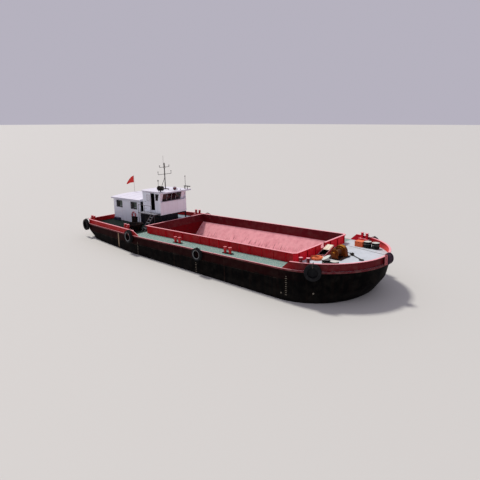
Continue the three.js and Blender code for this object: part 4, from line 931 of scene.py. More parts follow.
for tyre, (hand, side) in itertools.product(TYRES, SIDES[::-1]):
    end, radius, turn, inboard, anchor_z, back, beaded = tyre
    label = f"tyre_{hand}_{end}"
    centre = sum(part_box(label), Vector()) / 2
    angle = bow_turn(centre.x) if turn is None else math.radians(turn)
    out = Vector((math.cos(angle), side * math.sin(angle), 0))
    stand = toward(centre, centre + out)
    half = radius * TYRE_HALF
    form = Form()
    form.turned([(r * radius, z * half) for r, z in CARCASS], TYRE_SIDES, stand)
    form.stamp(tread_mesh(radius), stand)
    if beaded:
        form.turned([(r * radius, z * half) for r, z in BEAD], TYRE_SIDES, stand, 2)
    # A rubber disc closes the back of the hole, and also stands in for the shade inside it
    if back:
        hole = TYRE_HOLE * radius + 0.01
        form.turned([(0, -half), (hole, -half), (hole, back - half), (0, back - half)], TYRE_SIDES, stand)
    crown = centre + UP * CHAIN_TOP * radius
    top = crown + UP * CHAIN_LOOP * radius
    loop = arc(crown, out * (half + 0.03), UP * CHAIN_LOOP * radius, sweep(0, math.tau, 16))
    anchor = Vector((centre.x, centre.y, anchor_z)) + out * inboard
    near_end = anchor.lerp(top, 0.45)
    near_end.z = max(near_end.z, anchor_z + 0.02)
    form.stamp(chain([loop, [top, near_end, anchor]], CHAIN_WIRE, chain_steel), paint=1)
    piece = form.put(label + "_worn", "hull", [rubber, chain_steel, bead_grey], "tyre_rubber")
    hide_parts(label)


# Stem fender: a soft round nose of purple-black rubber, ribbed and bolted to the stem, with a faded
# pink steel plate on each cheek, whose pale pink is also a painted highlight of the sunlit side.
STEM_LOW, STEM_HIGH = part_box("stem_fender")
STEM_MIDDLE = (STEM_LOW.z + STEM_HIGH.z) / 2
STEM_RISE = (STEM_HIGH.z - STEM_LOW.z) / 2
STEM_ROOT = 0.10
STEM_NOSE = 0.30
STEM_RIBS = (-0.18, 0.0, 0.18)
RIB_SUNK = 0.004
RIB_RADIUS = 0.014
CHEEK_THICK = 0.012
CHEEK_LONG = 0.21
CHEEK_BOLTS = (0.14, 0.40, 0.66)

stem_rubber = Paint("stem_rubber", {"Roughness": 0.8, "Specular IOR Level": 0.1})
stem_dirt = weather(stem_rubber, 2.0, 9.0)["Dirt"]
stem_rubber.feed({"Base Color": stem_rubber.mix(stem_dirt, colour(44, 30, 42), colour(84, 66, 78))})
# The cheek plates' pale pink is paint and also a painted highlight
stem_plate = painted("stem_plate", colour(206, 112, 118), chips=0.5, runs=0.4, wear=0.5)
paint_nodes(stem_rubber.material, "stem_fender")
form = Form()
for y in STEM_RIBS:
    root = Vector((STEM_LOW.x + STEM_ROOT, y, STEM_MIDDLE))
    nose, rise = AHEAD * (STEM_NOSE - RIB_SUNK), UP * (STEM_RISE - RIB_SUNK)
    form.tube(arc(root, nose, rise, sweep(-math.pi / 2, math.pi / 2, 18)), RIB_RADIUS, 6)
cheek = [(STEM_LOW.x, STEM_LOW.z), (STEM_LOW.x + CHEEK_LONG, STEM_LOW.z + 0.04),
         (STEM_LOW.x + CHEEK_LONG, STEM_HIGH.z - 0.04), (STEM_LOW.x, STEM_HIGH.z)]
for side, y in ((-1, STEM_LOW.y - CHEEK_THICK), (1, STEM_HIGH.y)):
    flat = Matrix(((1, 0, 0, 0), (0, 0, 1, y), (0, 1, 0, 0), (0, 0, 0, 1)))
    form.plate(cheek, (0, CHEEK_THICK), flat, 1)
    for rise in CHEEK_BOLTS:
        start = Vector((STEM_LOW.x + 0.12, y + (CHEEK_THICK if side > 0 else 0), STEM_LOW.z + rise))
        form.rod(start, start + ABEAM * side * 0.016, 0.022, 6, 2)
form.put("stem_cheeks", "hull", [stem_rubber.material, stem_plate, chain_steel], "tyre_rubber")


# Crew house: welded plate walls in white enamel with rust tears under the openings, a cambered roof,
# sliding windows in dark rubber with a white rail across them, and a rimmed door.
WHITE = colour(242, 246, 255)
WHITE_TIRED = colour(186, 190, 204)
ROOF_WHITE = colour(218, 216, 228)
TEAR = colour(134, 96, 74)
# Inside the cabins the walls are painted dim as shade
CABIN_SHADE_DIM = colour(62, 56, 58)
CABIN_SKIN = 0.045
CABINS = (
    # aft wall, fore wall, depth of the fore wall's skin
    ("house_aft_wall", "house_fore_wall", 0.045),
    ("wheelhouse_aft_wall", "wheelhouse_front_wall", 0.37),
)
ROUND_LOW, ROUND_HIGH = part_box("wheelhouse_aft_wall")


def house_material():
    """White enamel outside; inside the two cabins the walls are painted dim as shade."""
    paint = Paint("house_white_enamel")
    at = paint.place()
    cabins = []
    for aft, fore, skin in CABINS:
        aft_low, (fore_low, fore_high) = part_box(aft)[0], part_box(fore)
        x = (aft_low.x + CABIN_SKIN, fore_high.x - skin)
        cabins.append(paint.times(*paint.tests(at, X=x, Y=(fore_low.y - 0.02, fore_high.y + 0.02))))
    # What faces away from the middle of the wheelhouse's round aft wall is its outside
    normal = paint.facing()
    off_x = paint.maths("SUBTRACT", at["X"], ROUND_HIGH.x)
    off_y = paint.maths("SUBTRACT", at["Y"], (ROUND_LOW.y + ROUND_HIGH.y) / 2)
    outward = paint.maths("ADD", paint.times(normal["X"], off_x), paint.times(normal["Y"], off_y))
    corner = paint.times(paint.maths("GREATER_THAN", outward, 0.0), *paint.tests(at, X=(None, ROUND_HIGH.x)),
                         *paint.tests(at, X=(ROUND_LOW.x - 0.01, None)))
    within = paint.times(paint.maths("MAXIMUM", *cabins), paint.maths("SUBTRACT", 1.0, corner))
    tone = paint.mix(within, paint.mix(paint.up(), WHITE, ROOF_WHITE), CABIN_SHADE_DIM)
    return finish(paint, tone, size=1.0, seed=11.0, chips=0.12, runs=0.12, dirt=0.06, bare=TEAR,
                  soil=WHITE_TIRED, wear=0.25, gloss=0.4)


WALLS = [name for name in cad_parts
         if name.startswith(("house_", "wheelhouse_")) and name.endswith("_wall")]
paint_nodes(house_material(), *WALLS, "house_door", "wheelhouse_door_starboard", "wheelhouse_door_port")
roof_paint = painted("roof_white", ROOF_WHITE, seed=13.0, chips=0.12, runs=0.0, dirt=0.2,
                     bare=colour(168, 140, 122), soil=colour(196, 196, 206), wear=0.3, gloss=0.5)
paint_nodes(roof_paint, "house_roof", "wheelhouse_roof")

# Each window's listed half is near black glass, darker than its other half, whose grey-green is a painted
# reflection of the sky
DARK_PANES_X = ((-15.22, -14.70), (-12.57, -12.04), (-8.20, -7.50))
glass = Paint("glass_painted_sky", {
    "Roughness": 0.06, "Specular IOR Level": 0.1, "Transmission Weight": 0.15, "IOR": 1.45,
})
pane_at = glass.place()
dark_panes = [glass.times(*glass.tests(pane_at, X=pane)) for pane in DARK_PANES_X]
dark = glass.maths("MAXIMUM", glass.maths("MAXIMUM", *dark_panes[:2]), dark_panes[2])
# The grey-green is a painted reflection of the sky; the listed panes stay near black
glass.feed({"Base Color": glass.mix(dark, colour(92, 104, 96), colour(3, 4, 7))})
paint_nodes(glass.material, *[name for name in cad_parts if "glass" in name])
screen = Paint("windscreen_glass", {
    "Base Color": colour(44, 24, 30), "Roughness": 0.06, "Transmission Weight": 0.25,
}).material
paint_nodes(screen, "windscreen")

gasket = painted("gasket_black", colour(20, 21, 24), size=3.0, chips=0.0, runs=0.0, dirt=0.25, wear=0.0,
                 gloss=0.6)
frame_white = painted("frame_white", colour(226, 228, 236), size=3.0, chips=0.2, runs=0.2, dirt=0.2,
                      bare=TEAR, wear=0.2)
HOUSE_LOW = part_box("house_starboard_wall")[0]
HOUSE_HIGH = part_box("house_port_wall")[1]
HOUSE_WINDOWS_X = ((-15.220, -14.150), (-12.570, -11.490))
HOUSE_WINDOW_Z = (4.320, 5.020)
SEAL = 0.035
RIM = 0.02


def border(form, axes, opening, inner, outer, depth, paint=0):
    """A rectangular rim round an opening, from an inner to an outer distance off its edge."""
    (x0, x1), (y0, y1) = opening
    for low, high in (
        ((x0 - outer, y0 - outer), (x1 + outer, y0 - inner)),
        ((x0 - outer, y1 + inner), (x1 + outer, y1 + outer)),
        ((x0 - outer, y0 - inner), (x0 - inner, y1 + inner)),
        ((x1 + inner, y0 - inner), (x1 + outer, y1 + inner)),
    ):
        form.box((*low, depth[0]), (*high, depth[1]), axes, paint)


def window_frame(form, axes, opening, seal=SEAL, rim=RIM, depth=0.018):
    """A rubber seal and a raised rim round an opening in a wall."""
    border(form, axes, opening, 0, seal, (-0.01, 0.006))
    border(form, axes, opening, seal, seal + rim, (-0.01, depth), 1)


def wall_axes(origin, run, up=UP):
    """A wall's matrix: local X the way it runs, local Y up on it, local Z outward."""
    run = Vector(run).normalized()
    turn = Matrix((run, up, run.cross(up))).transposed().to_4x4()
    return Matrix.Translation(Vector(origin)) @ turn


form = Form()
for side, y in ((-1, HOUSE_LOW.y), (1, HOUSE_HIGH.y)):
    axes = wall_axes((0, y, 0), (-side, 0, 0))
    for opening in HOUSE_WINDOWS_X:
        left, right_edge = opening if side < 0 else (-opening[1], -opening[0])
        low_z, high_z = HOUSE_WINDOW_Z
        middle = (left + right_edge) / 2
        window_frame(form, axes, ((left, right_edge), HOUSE_WINDOW_Z))
        form.box((middle - 0.015, low_z, -0.055), (middle + 0.015, high_z, -0.03), axes)
        form.box((middle, 4.47, -0.03), (right_edge if side > 0 else middle + 0.50, 4.485, -0.015), axes, 1)
        form.box((left - 0.1, high_z + 0.09, -0.002), (right_edge + 0.1, high_z + 0.105, 0.06), axes, 1)
form.put("house_window_frames", "hull", [gasket, frame_white], "house_white")

# The fore wall's open window, the sill under the door, and rims and a round port on the leaf itself
DOOR_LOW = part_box("house_door")[0]
FORE_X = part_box("house_roof")[1].x - 0.14
FORE_WINDOW = ((-1.12, -0.25), (4.13, 5.10))
DOOR_PANEL = ((2.53, 3.08), (2.93, 4.58))
DOOR_PORT = ((0, 0), (0.17, 0), (0.17, 0.014), (0.13, 0.018), (0, 0.018))
form = Form()
axes = wall_axes((FORE_X, 0, 0), ABEAM)
window_frame(form, axes, FORE_WINDOW)
form.box((2.40, 2.785, 0.0), (3.12, 2.81, 0.12), axes, 1)
form.put("house_fore_trim", "hull", [gasket, frame_white], "house_white")
form = Form()
leaf = wall_axes((DOOR_LOW.x + 0.04, 0, 0), ABEAM)
border(form, leaf, DOOR_PANEL, 0, 0.03, (-0.001, 0.012))
form.box((2.53, 3.76, -0.001), (3.08, 3.79, 0.012), leaf)
form.turned(DOOR_PORT, 28, leaf @ Matrix.Translation((2.80, 4.27, 0)), 1)
form.put("house_door_trim", "house_door", [frame_white, gasket], "house_white")

# Roof edge: a drip lip along each side and three seams where the sheets lap
ROOF_LOW, ROOF_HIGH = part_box("house_roof")
LIP = 0.02
SEAMS_X = (-14.72, -13.42, -12.12)
CAMBER = 0.20
form = Form()
for inner, outer in ((ROOF_LOW.y - LIP, ROOF_LOW.y), (ROOF_HIGH.y, ROOF_HIGH.y + LIP)):
    form.box((ROOF_LOW.x, inner, ROOF_LOW.z - 0.02), (ROOF_HIGH.x, outer, ROOF_LOW.z + 0.13))
half = (ROOF_HIGH.y - ROOF_LOW.y) / 2
camber_radius = (half ** 2 + CAMBER ** 2) / (2 * CAMBER)
spread = math.asin(half / camber_radius) * 0.995
for x in SEAMS_X:
    centre = Vector((x, (ROOF_LOW.y + ROOF_HIGH.y) / 2, ROOF_HIGH.z - camber_radius))
    form.tube(arc(centre, UP * camber_radius, ABEAM * camber_radius, sweep(-spread, spread, 24)), 0.012, 6)
form.put("house_roof_lips", "hull", [roof_paint], "house_white")


# Engine casing: grey-black plate with louvred vents and a clipped hatch on its fore face.
CASING_LOW, CASING_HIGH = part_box("engine_casing")
LOUVRES_X = (-10.2, -9.35, -8.5)
LOUVRE_Z = 3.15
LOUVRE_WIDTH = 0.62
SLATS = 9
SLAT_STEP = 0.062
SLAT = ((0, 0), (0.034, 0.012), (0.030, 0.020), (-0.004, 0.044))
casing_paint = painted("casing_dark", colour(16, 19, 30), size=1.4, seed=17.0, chips=0.3, runs=0.3,
                       dirt=0.4, soil=colour(60, 56, 62), bare=colour(58, 42, 38), wear=0.5)
paint_nodes(casing_paint, "engine_casing")
slat = Form()
slat.plate(SLAT, (0, LOUVRE_WIDTH))
slat_unit = slat.finished("slat")
form = Form()
for x in LOUVRES_X:
    form.box((x - 0.04, CASING_LOW.y - 0.012, LOUVRE_Z - 0.05),
             (x + LOUVRE_WIDTH + 0.04, CASING_LOW.y + 0.002, LOUVRE_Z + SLATS * SLAT_STEP + 0.03), paint=1)
    row = repeat(slat_unit.copy(), ROW, Count=SLATS, Step=(0.0, SLAT_STEP, 0.0), Finish=casing_paint)
    on_wall = Matrix(((0, 0, 1, x), (-1, 0, 0, CASING_LOW.y - 0.010), (0, 1, 0, LOUVRE_Z), (0, 0, 0, 1)))
    form.stamp(row, on_wall)
form.box((CASING_HIGH.x, -0.55, 3.0), (CASING_HIGH.x + 0.02, 0.25, 3.75))
for y, z in itertools.product((-0.62, 0.25), (3.1, 3.65)):
    form.box((CASING_HIGH.x, y, z - 0.03), (CASING_HIGH.x + 0.035, y + 0.07, z + 0.03), paint=1)
form.put("casing_louvres", "hull", [casing_paint, gasket], "dark_steel")
paint_nodes(painted("engine_grey", colour(96, 104, 104), size=2.0, chips=0.3, dirt=0.6,
                    soil=colour(38, 34, 30)), "main_engines")


# Wheelhouse: raked windscreen in black rubber with dark mullions, two wipers, rubbers round the side
# windows, grips beside the doors, rimmed panels on the door leaves and a drip strip on the roof.
FRONT_LOW, FRONT_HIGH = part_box("wheelhouse_front_wall")
SCREEN_TOP = Vector((FRONT_HIGH.x - 0.020, 0, 6.210))
SCREEN_FOOT = Vector((FRONT_HIGH.x - 0.290, 0, 5.400))
SCREEN_Y = (-0.800, 1.580)
SCREEN_Z = (5.450, 6.170)
PANES = 4
MULLION = 0.06
WIPER = (
    # start and end off the pivot along the screen, up it and outward, and radius
    ((0, 0, 0.01), (0, 0, 0.05), 0.018),
    ((0, 0, 0.045), (-0.26, 0.34, 0.03), 0.007),
    ((-0.34, 0.12, 0.028), (-0.18, 0.56, 0.028), 0.006),
)
rake = (SCREEN_TOP - SCREEN_FOOT).normalized()
screen_axes = wall_axes(SCREEN_FOOT, ABEAM, rake)
foot, head = [(z - SCREEN_FOOT.z) / rake.z for z in SCREEN_Z]
pitch = (SCREEN_Y[1] - SCREEN_Y[0] + MULLION) / PANES
form = Form()
for low, high in (
    ((SCREEN_Y[0] - 0.06, foot - 0.06), (SCREEN_Y[1] + 0.06, foot)),
    ((SCREEN_Y[0] - 0.06, head), (SCREEN_Y[1] + 0.06, head + 0.05)),
    ((SCREEN_Y[0] - 0.06, foot), (SCREEN_Y[0], head)),
    ((SCREEN_Y[1], foot), (SCREEN_Y[1] + 0.06, head)),
):
    form.box((*low, -0.01), (*high, 0.014), screen_axes)
for pane in range(1, PANES):
    y = SCREEN_Y[0] + pane * pitch - MULLION
    form.box((y - 0.004, foot, -0.01), (y + MULLION + 0.004, head, 0.012), screen_axes)
for pane, (start, end, radius) in itertools.product((0, 2), WIPER):
    pivot = Vector((SCREEN_Y[0] + (pane + 0.5) * pitch, foot - 0.03, 0))
    form.rod(screen_axes @ (pivot + Vector(start)), screen_axes @ (pivot + Vector(end)), radius, 8)
screen_trim = painted("screen_trim", colour(58, 30, 36), size=3.0, chips=0.1, dirt=0.3, wear=0.2)
form.put("windscreen_frame", "hull", [screen_trim], "window_glass")

SIDE_OPENING = ((-8.130, 6.200), (-7.620, 6.200), (-7.830, 5.550), (-8.130, 5.550))
form = Form()
for side, face in ((-1, FRONT_LOW.y - 0.06), (1, FRONT_HIGH.y + 0.06)):
    form.tube([Vector((x, face + side * 0.008, z)) for x, z in SIDE_OPENING], 0.028, 8, closed=True)
    near, far = sorted((face, face + side * 0.006))
    for z in (4.58, 5.30):
        form.box((-10.0, near, z), (-9.72, far, z + 0.02))
form.put("wheelhouse_side_rubbers", "hull", [gasket], "window_glass")

LEAF_SKIN = 0.045
LEAF_PANEL_Z = (5.42, 6.05)
for hand, side in SIDES:
    low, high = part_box(f"wheelhouse_door_{hand}")
    face = low.y + LEAF_SKIN if side < 0 else high.y - LEAF_SKIN
    axes = wall_axes((0, face, 0), (-side, 0, 0))
    span = (low.x + 0.12, high.x - 0.12) if side < 0 else (-high.x + 0.12, -low.x - 0.12)
    form = Form()
    form.box((span[0], LEAF_PANEL_Z[0], -0.002), (span[1], LEAF_PANEL_Z[1], 0.004), axes, 1)
    window_frame(form, axes, (span, LEAF_PANEL_Z), seal=0.012, rim=0.03, depth=0.010)
    form.put(f"wheelhouse_door_trim_{hand}", f"wheelhouse_door_{hand}", [gasket, frame_white, screen],
             "house_white")

TOP_LOW, TOP_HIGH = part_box("wheelhouse_roof")
form = Form()
form.box((TOP_HIGH.x - 0.34, TOP_LOW.y, 6.335), (TOP_HIGH.x - 0.30, TOP_HIGH.y, 6.352))
form.put("wheelhouse_roof_drip", "hull", [roof_paint], "house_white")


# Helm: a grey enamelled console with its dials, lever and compass, and a varnished spoked wheel.
CONSOLE_LOW, CONSOLE_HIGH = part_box("helm_console")
WHEEL_LOW, WHEEL_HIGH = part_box("helm_wheel")
DIALS_Y = (0.06, 0.22, 0.68, 0.84)
DIAL = ((0, 0), (0.052, 0), (0.052, 0.014), (0.044, 0.014), (0.044, 0.008), (0, 0.008))
COMPASS_Y = 0.45
COMPASS = ((0, 0), (0.07, 0), (0.085, 0.05), (0.06, 0.11), (0, 0.13))
LEVER_Y = 0.95
LEVER_KNOB = ((0, 0), (0.02, 0.006), (0.02, 0.03), (0, 0.036))
paint_nodes(painted("console_grey", colour(92, 98, 104), size=3.0, chips=0.2, dirt=0.3, wear=0.3),
            "helm_console")
paint_nodes(painted("wheel_varnish", colour(128, 72, 34), size=4.0, chips=0.2, dirt=0.2, wear=0.4,
                    bare=colour(176, 130, 80), gloss=0.25), "helm_wheel")
brass = painted("brass_worn", colour(186, 142, 62), size=5.0, chips=0.0, dirt=0.4, wear=0.0, gloss=0.3)


def on_console(y, x=0.0, z=0.0):
    """A point on the middle of the console's top, as a vector."""
    return Vector(((CONSOLE_LOW.x + CONSOLE_HIGH.x) / 2 + x, y, CONSOLE_HIGH.z + z))


form = Form()
for profile, y in (*[(DIAL, y) for y in DIALS_Y], (COMPASS, COMPASS_Y)):
    form.turned(profile, 20, Matrix.Translation(on_console(y)), 1)
form.rod(on_console(LEVER_Y), on_console(LEVER_Y, -0.05, 0.14), 0.008)
form.turned(LEVER_KNOB, 12, Matrix.Translation(on_console(LEVER_Y, -0.05, 0.13)))
form.put("helm_fittings", "hull", [gasket, brass], "dark_steel")
form = Form()
hub = (WHEEL_LOW + WHEEL_HIGH) / 2
hub.x = WHEEL_LOW.x + 0.004
form.knob(0.05, 0.04, 0.018, 20, toward(hub, hub - AHEAD), crown=0.006)
form.put("helm_wheel_boss", "helm_wheel", [brass], "ochre_paint")


# Boarding landing: galvanised steel with a chequered tread plate, feet on its legs and a ladder; its
# up-facing surfaces are painted pale as a highlight.
LANDING_LOW, LANDING_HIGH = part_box("boarding_landing")
LANDING_TOP = 4.250
LANDING_FOOT_Y = -2.150
TREAD_STEP = 0.115
TREAD_ROWS = 7
TREAD_COUNT = 22
# The pale colour on up-facing surfaces is a painted highlight
landing_paint = painted("landing_galvanised", colour(66, 66, 76), pale=colour(124, 128, 140), size=2.0,
                        chips=0.4, runs=0.3, dirt=0.4, wear=0.3)
paint_nodes(landing_paint, "boarding_landing")
bar = Form()
bar.box((-0.030, -0.006, 0), (0.030, 0.006, 0.004))
bar_unit = bar.finished("bar")
form = Form()
for row in range(TREAD_ROWS):
    start = (LANDING_LOW.x + 0.07 + 0.05 * (row % 2), LANDING_FOOT_Y + 0.08 + row * TREAD_STEP, LANDING_TOP)
    bars = repeat(bar_unit.copy(), ROW, Count=TREAD_COUNT, Step=(TREAD_STEP, 0.0, 0.0), Finish=landing_paint)
    form.stamp(bars, Matrix.Translation(start))
for x in (LANDING_LOW.x + 0.06, LANDING_HIGH.x - 0.06):
    form.box((x - 0.08, LANDING_FOOT_Y - 0.02, DECK_Z), (x + 0.08, LANDING_FOOT_Y + 0.14, DECK_Z + 0.012))
form.put("landing_treads", "hull", [landing_paint], "galvanised")


# Signal mast: grey tube with two crossarms, two lamps with ribbed guards, clamps where the arms cross
# it and a black cup on the end of each arm.
MAST_X, MAST_Y = -8.900, 0.700
ROOF_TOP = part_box("signal_mast")[0].z
MAST_LAMPS = (
    # foot, height, radius
    (8.690, 0.210, 0.095),
    (9.030, 0.180, 0.075),
)
ARMS = (
    # height, half length, rise of the end
    (8.060, 0.880, 0.330),
    (8.800, 0.640, 0.200),
)
ARM_CUP = ((0, -0.09), (0.036, -0.09), (0.036, -0.005), (0.02, 0.012), (0, 0.012))
POST_CUP = ((0, -0.07), (0.030, -0.07), (0.030, 0.0), (0, 0.004))
POST_TOP = Vector((-8.000, -0.960, ROOF_TOP + 1.150))
mast_paint = painted("mast_grey", colour(42, 45, 54), size=3.0, chips=0.4, runs=0.2, dirt=0.3, wear=0.2)
paint_nodes(mast_paint, "signal_mast")
lamp_black = painted("lamp_black", colour(9, 10, 12), size=4.0, chips=0.1, dirt=0.1, wear=0.1, gloss=0.6,
                     shine=0.04)
lens_glass = Paint("lamp_lens", {"Base Color": colour(206, 206, 196), "Roughness": 0.12}).material
form = Form()
for foot, height, radius in MAST_LAMPS:
    place = Matrix.Translation((MAST_X, MAST_Y, foot))
    grow = radius + 0.004
    lens_z, cap_z = 0.3 * height, 0.75 * height
    form.collar(grow - 0.02, grow, -0.004, lens_z, 20, place)
    form.collar(grow - 0.02, grow - 0.001, lens_z, cap_z, 20, place, 1)
    top = height + 0.02
    form.turned([(0, cap_z), (grow, cap_z), (grow, height), (0.4 * grow, top), (0, top)], 20, place)
for z, half, lift in ARMS:
    form.collar(0.048, 0.062, -0.05, 0.05, 16, Matrix.Translation((MAST_X, MAST_Y, z)))
    for _, side in SIDES:
        form.turned(ARM_CUP, 12, Matrix.Translation((MAST_X, MAST_Y + side * half, z + lift)))
form.turned(POST_CUP, 12, Matrix.Translation(POST_TOP))
form.put("mast_lamps", "hull", [lamp_black, lens_glass], "galvanised")


# Roof fittings: the round signal lamp under its dark red lens, the lamp posts, the bracket at the
# port corner, and the vents and cable glands beside them.
LAMP_AT = (-7.330, 0.640)
LAMP_LENS = ((0, 0.055), (0.150, 0.055), (0.180, 0.10), (0.180, 0.27), (0.120, 0.345), (0, 0.365))
LAMP_FOOT = ((0.046, 0.0), (0.120, 0.0), (0.120, 0.02), (0.060, 0.05), (0.046, 0.05))
BRACKET_Y = 1.880
LAMP_POSTS = (
    # x, y, height, radius of the head, height of the head
    (-8.000, -0.960, 1.150, 0.055, 0.110),
    (-7.050, BRACKET_Y, 1.400, 0.045, 0.090),
)
VENTS = ((-8.55, 0.10), (-8.10, 0.42), (-7.55, 1.15), (-7.15, 1.25))
VENT = ((0, 0), (0.045, 0), (0.045, 0.07), (0.02, 0.09), (0, 0.09))
red_lens = Paint("signal_red", {"Base Color": colour(92, 3, 16), "Roughness": 0.3}).material
form = Form()
lamp = Matrix.Translation((*LAMP_AT, ROOF_TOP))
form.turned(LAMP_LENS, 24, lamp, 1)
form.turned(LAMP_FOOT, 20, lamp)
for x, y, height, head, tall in LAMP_POSTS:
    top = ROOF_TOP + height
    form.rod((x, y, ROOF_TOP), (x, y, top - tall), 0.021)
    shell = head + 0.003
    form.turned([(0, -tall - 0.003), (shell, -tall - 0.003), (shell, 0.0), (0.02, 0.016), (0, 0.016)], 14,
                Matrix.Translation((x, y, top)))
form.box((-7.243, BRACKET_Y - 0.048, ROOF_TOP + 0.277), (-6.317, BRACKET_Y + 0.048, ROOF_TOP + 0.353))
for x in (-7.200, -6.740):
    form.rod((x, BRACKET_Y, ROOF_TOP), (x, BRACKET_Y, ROOF_TOP + 0.28), 0.033)
for x, y in VENTS:
    form.turned(VENT, 14, Matrix.Translation((x, y, ROOF_TOP)))
form.put("roof_fittings", "hull", [lamp_black, red_lens], "house_white")


# Searchlight: a black drum with a bezel and a dark lens forward, cooling fins aft, and clamp knobs.
BEAM = Vector((-7.450, -1.150, ROOF_TOP + 0.370))
BEAM_RADIUS = 0.225
BEAM_LONG = 0.600
FINS = (0.10, 0.15, 0.20, 0.25)
paint_nodes(lamp_black, "searchlight")
form = Form()
nose_at = BEAM + AHEAD * BEAM_LONG / 2
nose = toward(nose_at, nose_at + AHEAD)
form.collar(BEAM_RADIUS - 0.02, BEAM_RADIUS + 0.012, -0.05, 0.015, 32, nose)
form.knob(BEAM_RADIUS - 0.02, BEAM_RADIUS - 0.03, 0.006, 32, nose, 1, crown=0.008)
for fin in FINS:
    form.collar(BEAM_RADIUS - 0.01, BEAM_RADIUS + 0.014, fin - BEAM_LONG - 0.008, fin - BEAM_LONG + 0.008, 32,
                nose)
for _, side in SIDES:
    start = BEAM + ABEAM * side * 0.254
    form.turned([(0, 0), (0.035, 0), (0.035, 0.02), (0.012, 0.028), (0, 0.028)], 10,
                toward(start, start + ABEAM * side))
form.put("searchlight_fittings", "hull", [lamp_black, gasket], "dark_steel")


# Windlass: ochre castings on a dark bed with a red-orange guard arch, bolted gear case, wire rope wound
# on the drum, and ribbed warping heads.
SHAFT_X, SHAFT_Z = 12.350, 3.200
WINDLASS_Y = (-1.180, 0.100)
CASE_Y = (WINDLASS_Y[1] - 0.380, WINDLASS_Y[1])
CASE_RADIUS = 0.450
CASE_BOLTS = 14
CASE_HUB = ((0.10, 0), (0.17, 0), (0.15, 0.03), (0.10, 0.03))
BEARING_BOLTS = ((12.22, 2.92), (12.60, 2.92), (12.30, 3.50), (12.44, 3.50))
BED_BOLTS_X = (11.86, 12.90)
BED_BOLTS_Y = (-1.22, -0.70, 0.14)
GUARD_FORE_X = 11.860
BED_TOP = 2.852
WIRE_RADIUS = 0.011
WIRE_PITCH = 0.0245
WIRE_STEPS = 22
WIRE_Y = (-1.060, -0.340)
BARREL_RADIUS = 0.190
HEAD_LONG = (0.005, 0.235)
HEAD_RIBS = 6


def windlass_material(name, parts):
    """Ochre enamel, pale where it faces up as a painted highlight; the frame's bed is dark and its guard arch
    red.
    """
    paint = Paint(name)
    # Pale ochre on up-facing faces is a painted highlight
    tone = paint.mix(paint.up(), colour(122, 62, 20), colour(206, 146, 52))
    if parts:
        at = paint.place()
        guard = paint.ramp(at["X"], GUARD_FORE_X, GUARD_FORE_X - 0.01)
        tone = paint.mix(guard, tone, colour(176, 44, 24))
        tone = paint.mix(paint.ramp(at["Z"], BED_TOP + 0.01, BED_TOP), tone, colour(30, 26, 28))
    return finish(paint, tone, size=2.0, seed=23.0, chips=0.5, runs=0.3, dirt=0.5,
                  soil=colour(52, 30, 20), bare=colour(70, 40, 26), wear=0.6, gloss=0.4)


windlass_paint = windlass_material("windlass_ochre", True)
drum_paint = windlass_material("windlass_drum_ochre", False)
paint_nodes(windlass_paint, "windlass_frame")
paint_nodes(drum_paint, "windlass_drum")
wire_steel = rope_material("wire_rope", colour(96, 50, 16), colour(38, 20, 10), 0.12, 6)
bolt = Form()
bolt.knob(0.024, 0.020, 0.018, 6)
bolt_unit = bolt.finished("bolt")
form = Form()
for side, y in zip((-1, 1), CASE_Y):
    face = toward((SHAFT_X, y, SHAFT_Z), (SHAFT_X, y + side, SHAFT_Z))
    form.stamp(repeat(bolt_unit.copy(), RING, Count=CASE_BOLTS, Radius=CASE_RADIUS - 0.05,
                      Finish=windlass_paint), face)
    form.turned(CASE_HUB, 24, face)
for y in (CASE_Y[1] - 0.02, CASE_Y[0] + 0.02, (CASE_Y[0] + CASE_Y[1]) / 2):
    middle = Vector((SHAFT_X, y, SHAFT_Z))
    form.tube(arc(middle, AHEAD * CASE_RADIUS, UP * CASE_RADIUS, sweep(0, math.pi, 24)), 0.018, 6)
BOLT_PLACES = [toward((x, WINDLASS_Y[0], z), (x, WINDLASS_Y[0] - 1, z)) for x, z in BEARING_BOLTS]
BOLT_PLACES += [Matrix.Translation((x, y, BED_TOP - 0.002)) for x in BED_BOLTS_X for y in BED_BOLTS_Y]
for place in BOLT_PLACES:
    form.knob(0.026, 0.022, 0.02, 6, place)
form.put("windlass_fittings", "hull", [windlass_paint], "ochre_paint")

form = Form()
wound = []
wire_reach = BARREL_RADIUS + WIRE_RADIUS - 0.002
for step in range(int((WIRE_Y[1] - WIRE_Y[0]) / WIRE_PITCH * WIRE_STEPS) + 1):
    turn = math.tau * step / WIRE_STEPS
    wound.append(Vector((SHAFT_X + wire_reach * math.cos(turn), WIRE_Y[0] + WIRE_PITCH * step / WIRE_STEPS,
                         SHAFT_Z + wire_reach * math.sin(turn))))
form.tube(wound, WIRE_RADIUS, 6)
form.put("windlass_wire", "windlass_drum", [wire_steel], "ochre_paint")
form = Form()
for low in (WINDLASS_Y[0] - HEAD_LONG[1], WINDLASS_Y[1] + HEAD_LONG[0]):
    rib = Form()
    rib.box((-0.01, -0.012, 0.05), (0.012, 0.012, HEAD_LONG[1] - HEAD_LONG[0] - 0.05))
    ribs = repeat(rib.finished("rib"), RING, Count=HEAD_RIBS, Radius=0.125, Finish=drum_paint)
    form.stamp(ribs, toward((SHAFT_X, low, SHAFT_Z), (SHAFT_X, low + 1, SHAFT_Z)))
form.put("warping_ribs", "windlass_drum", [drum_paint], "ochre_paint")


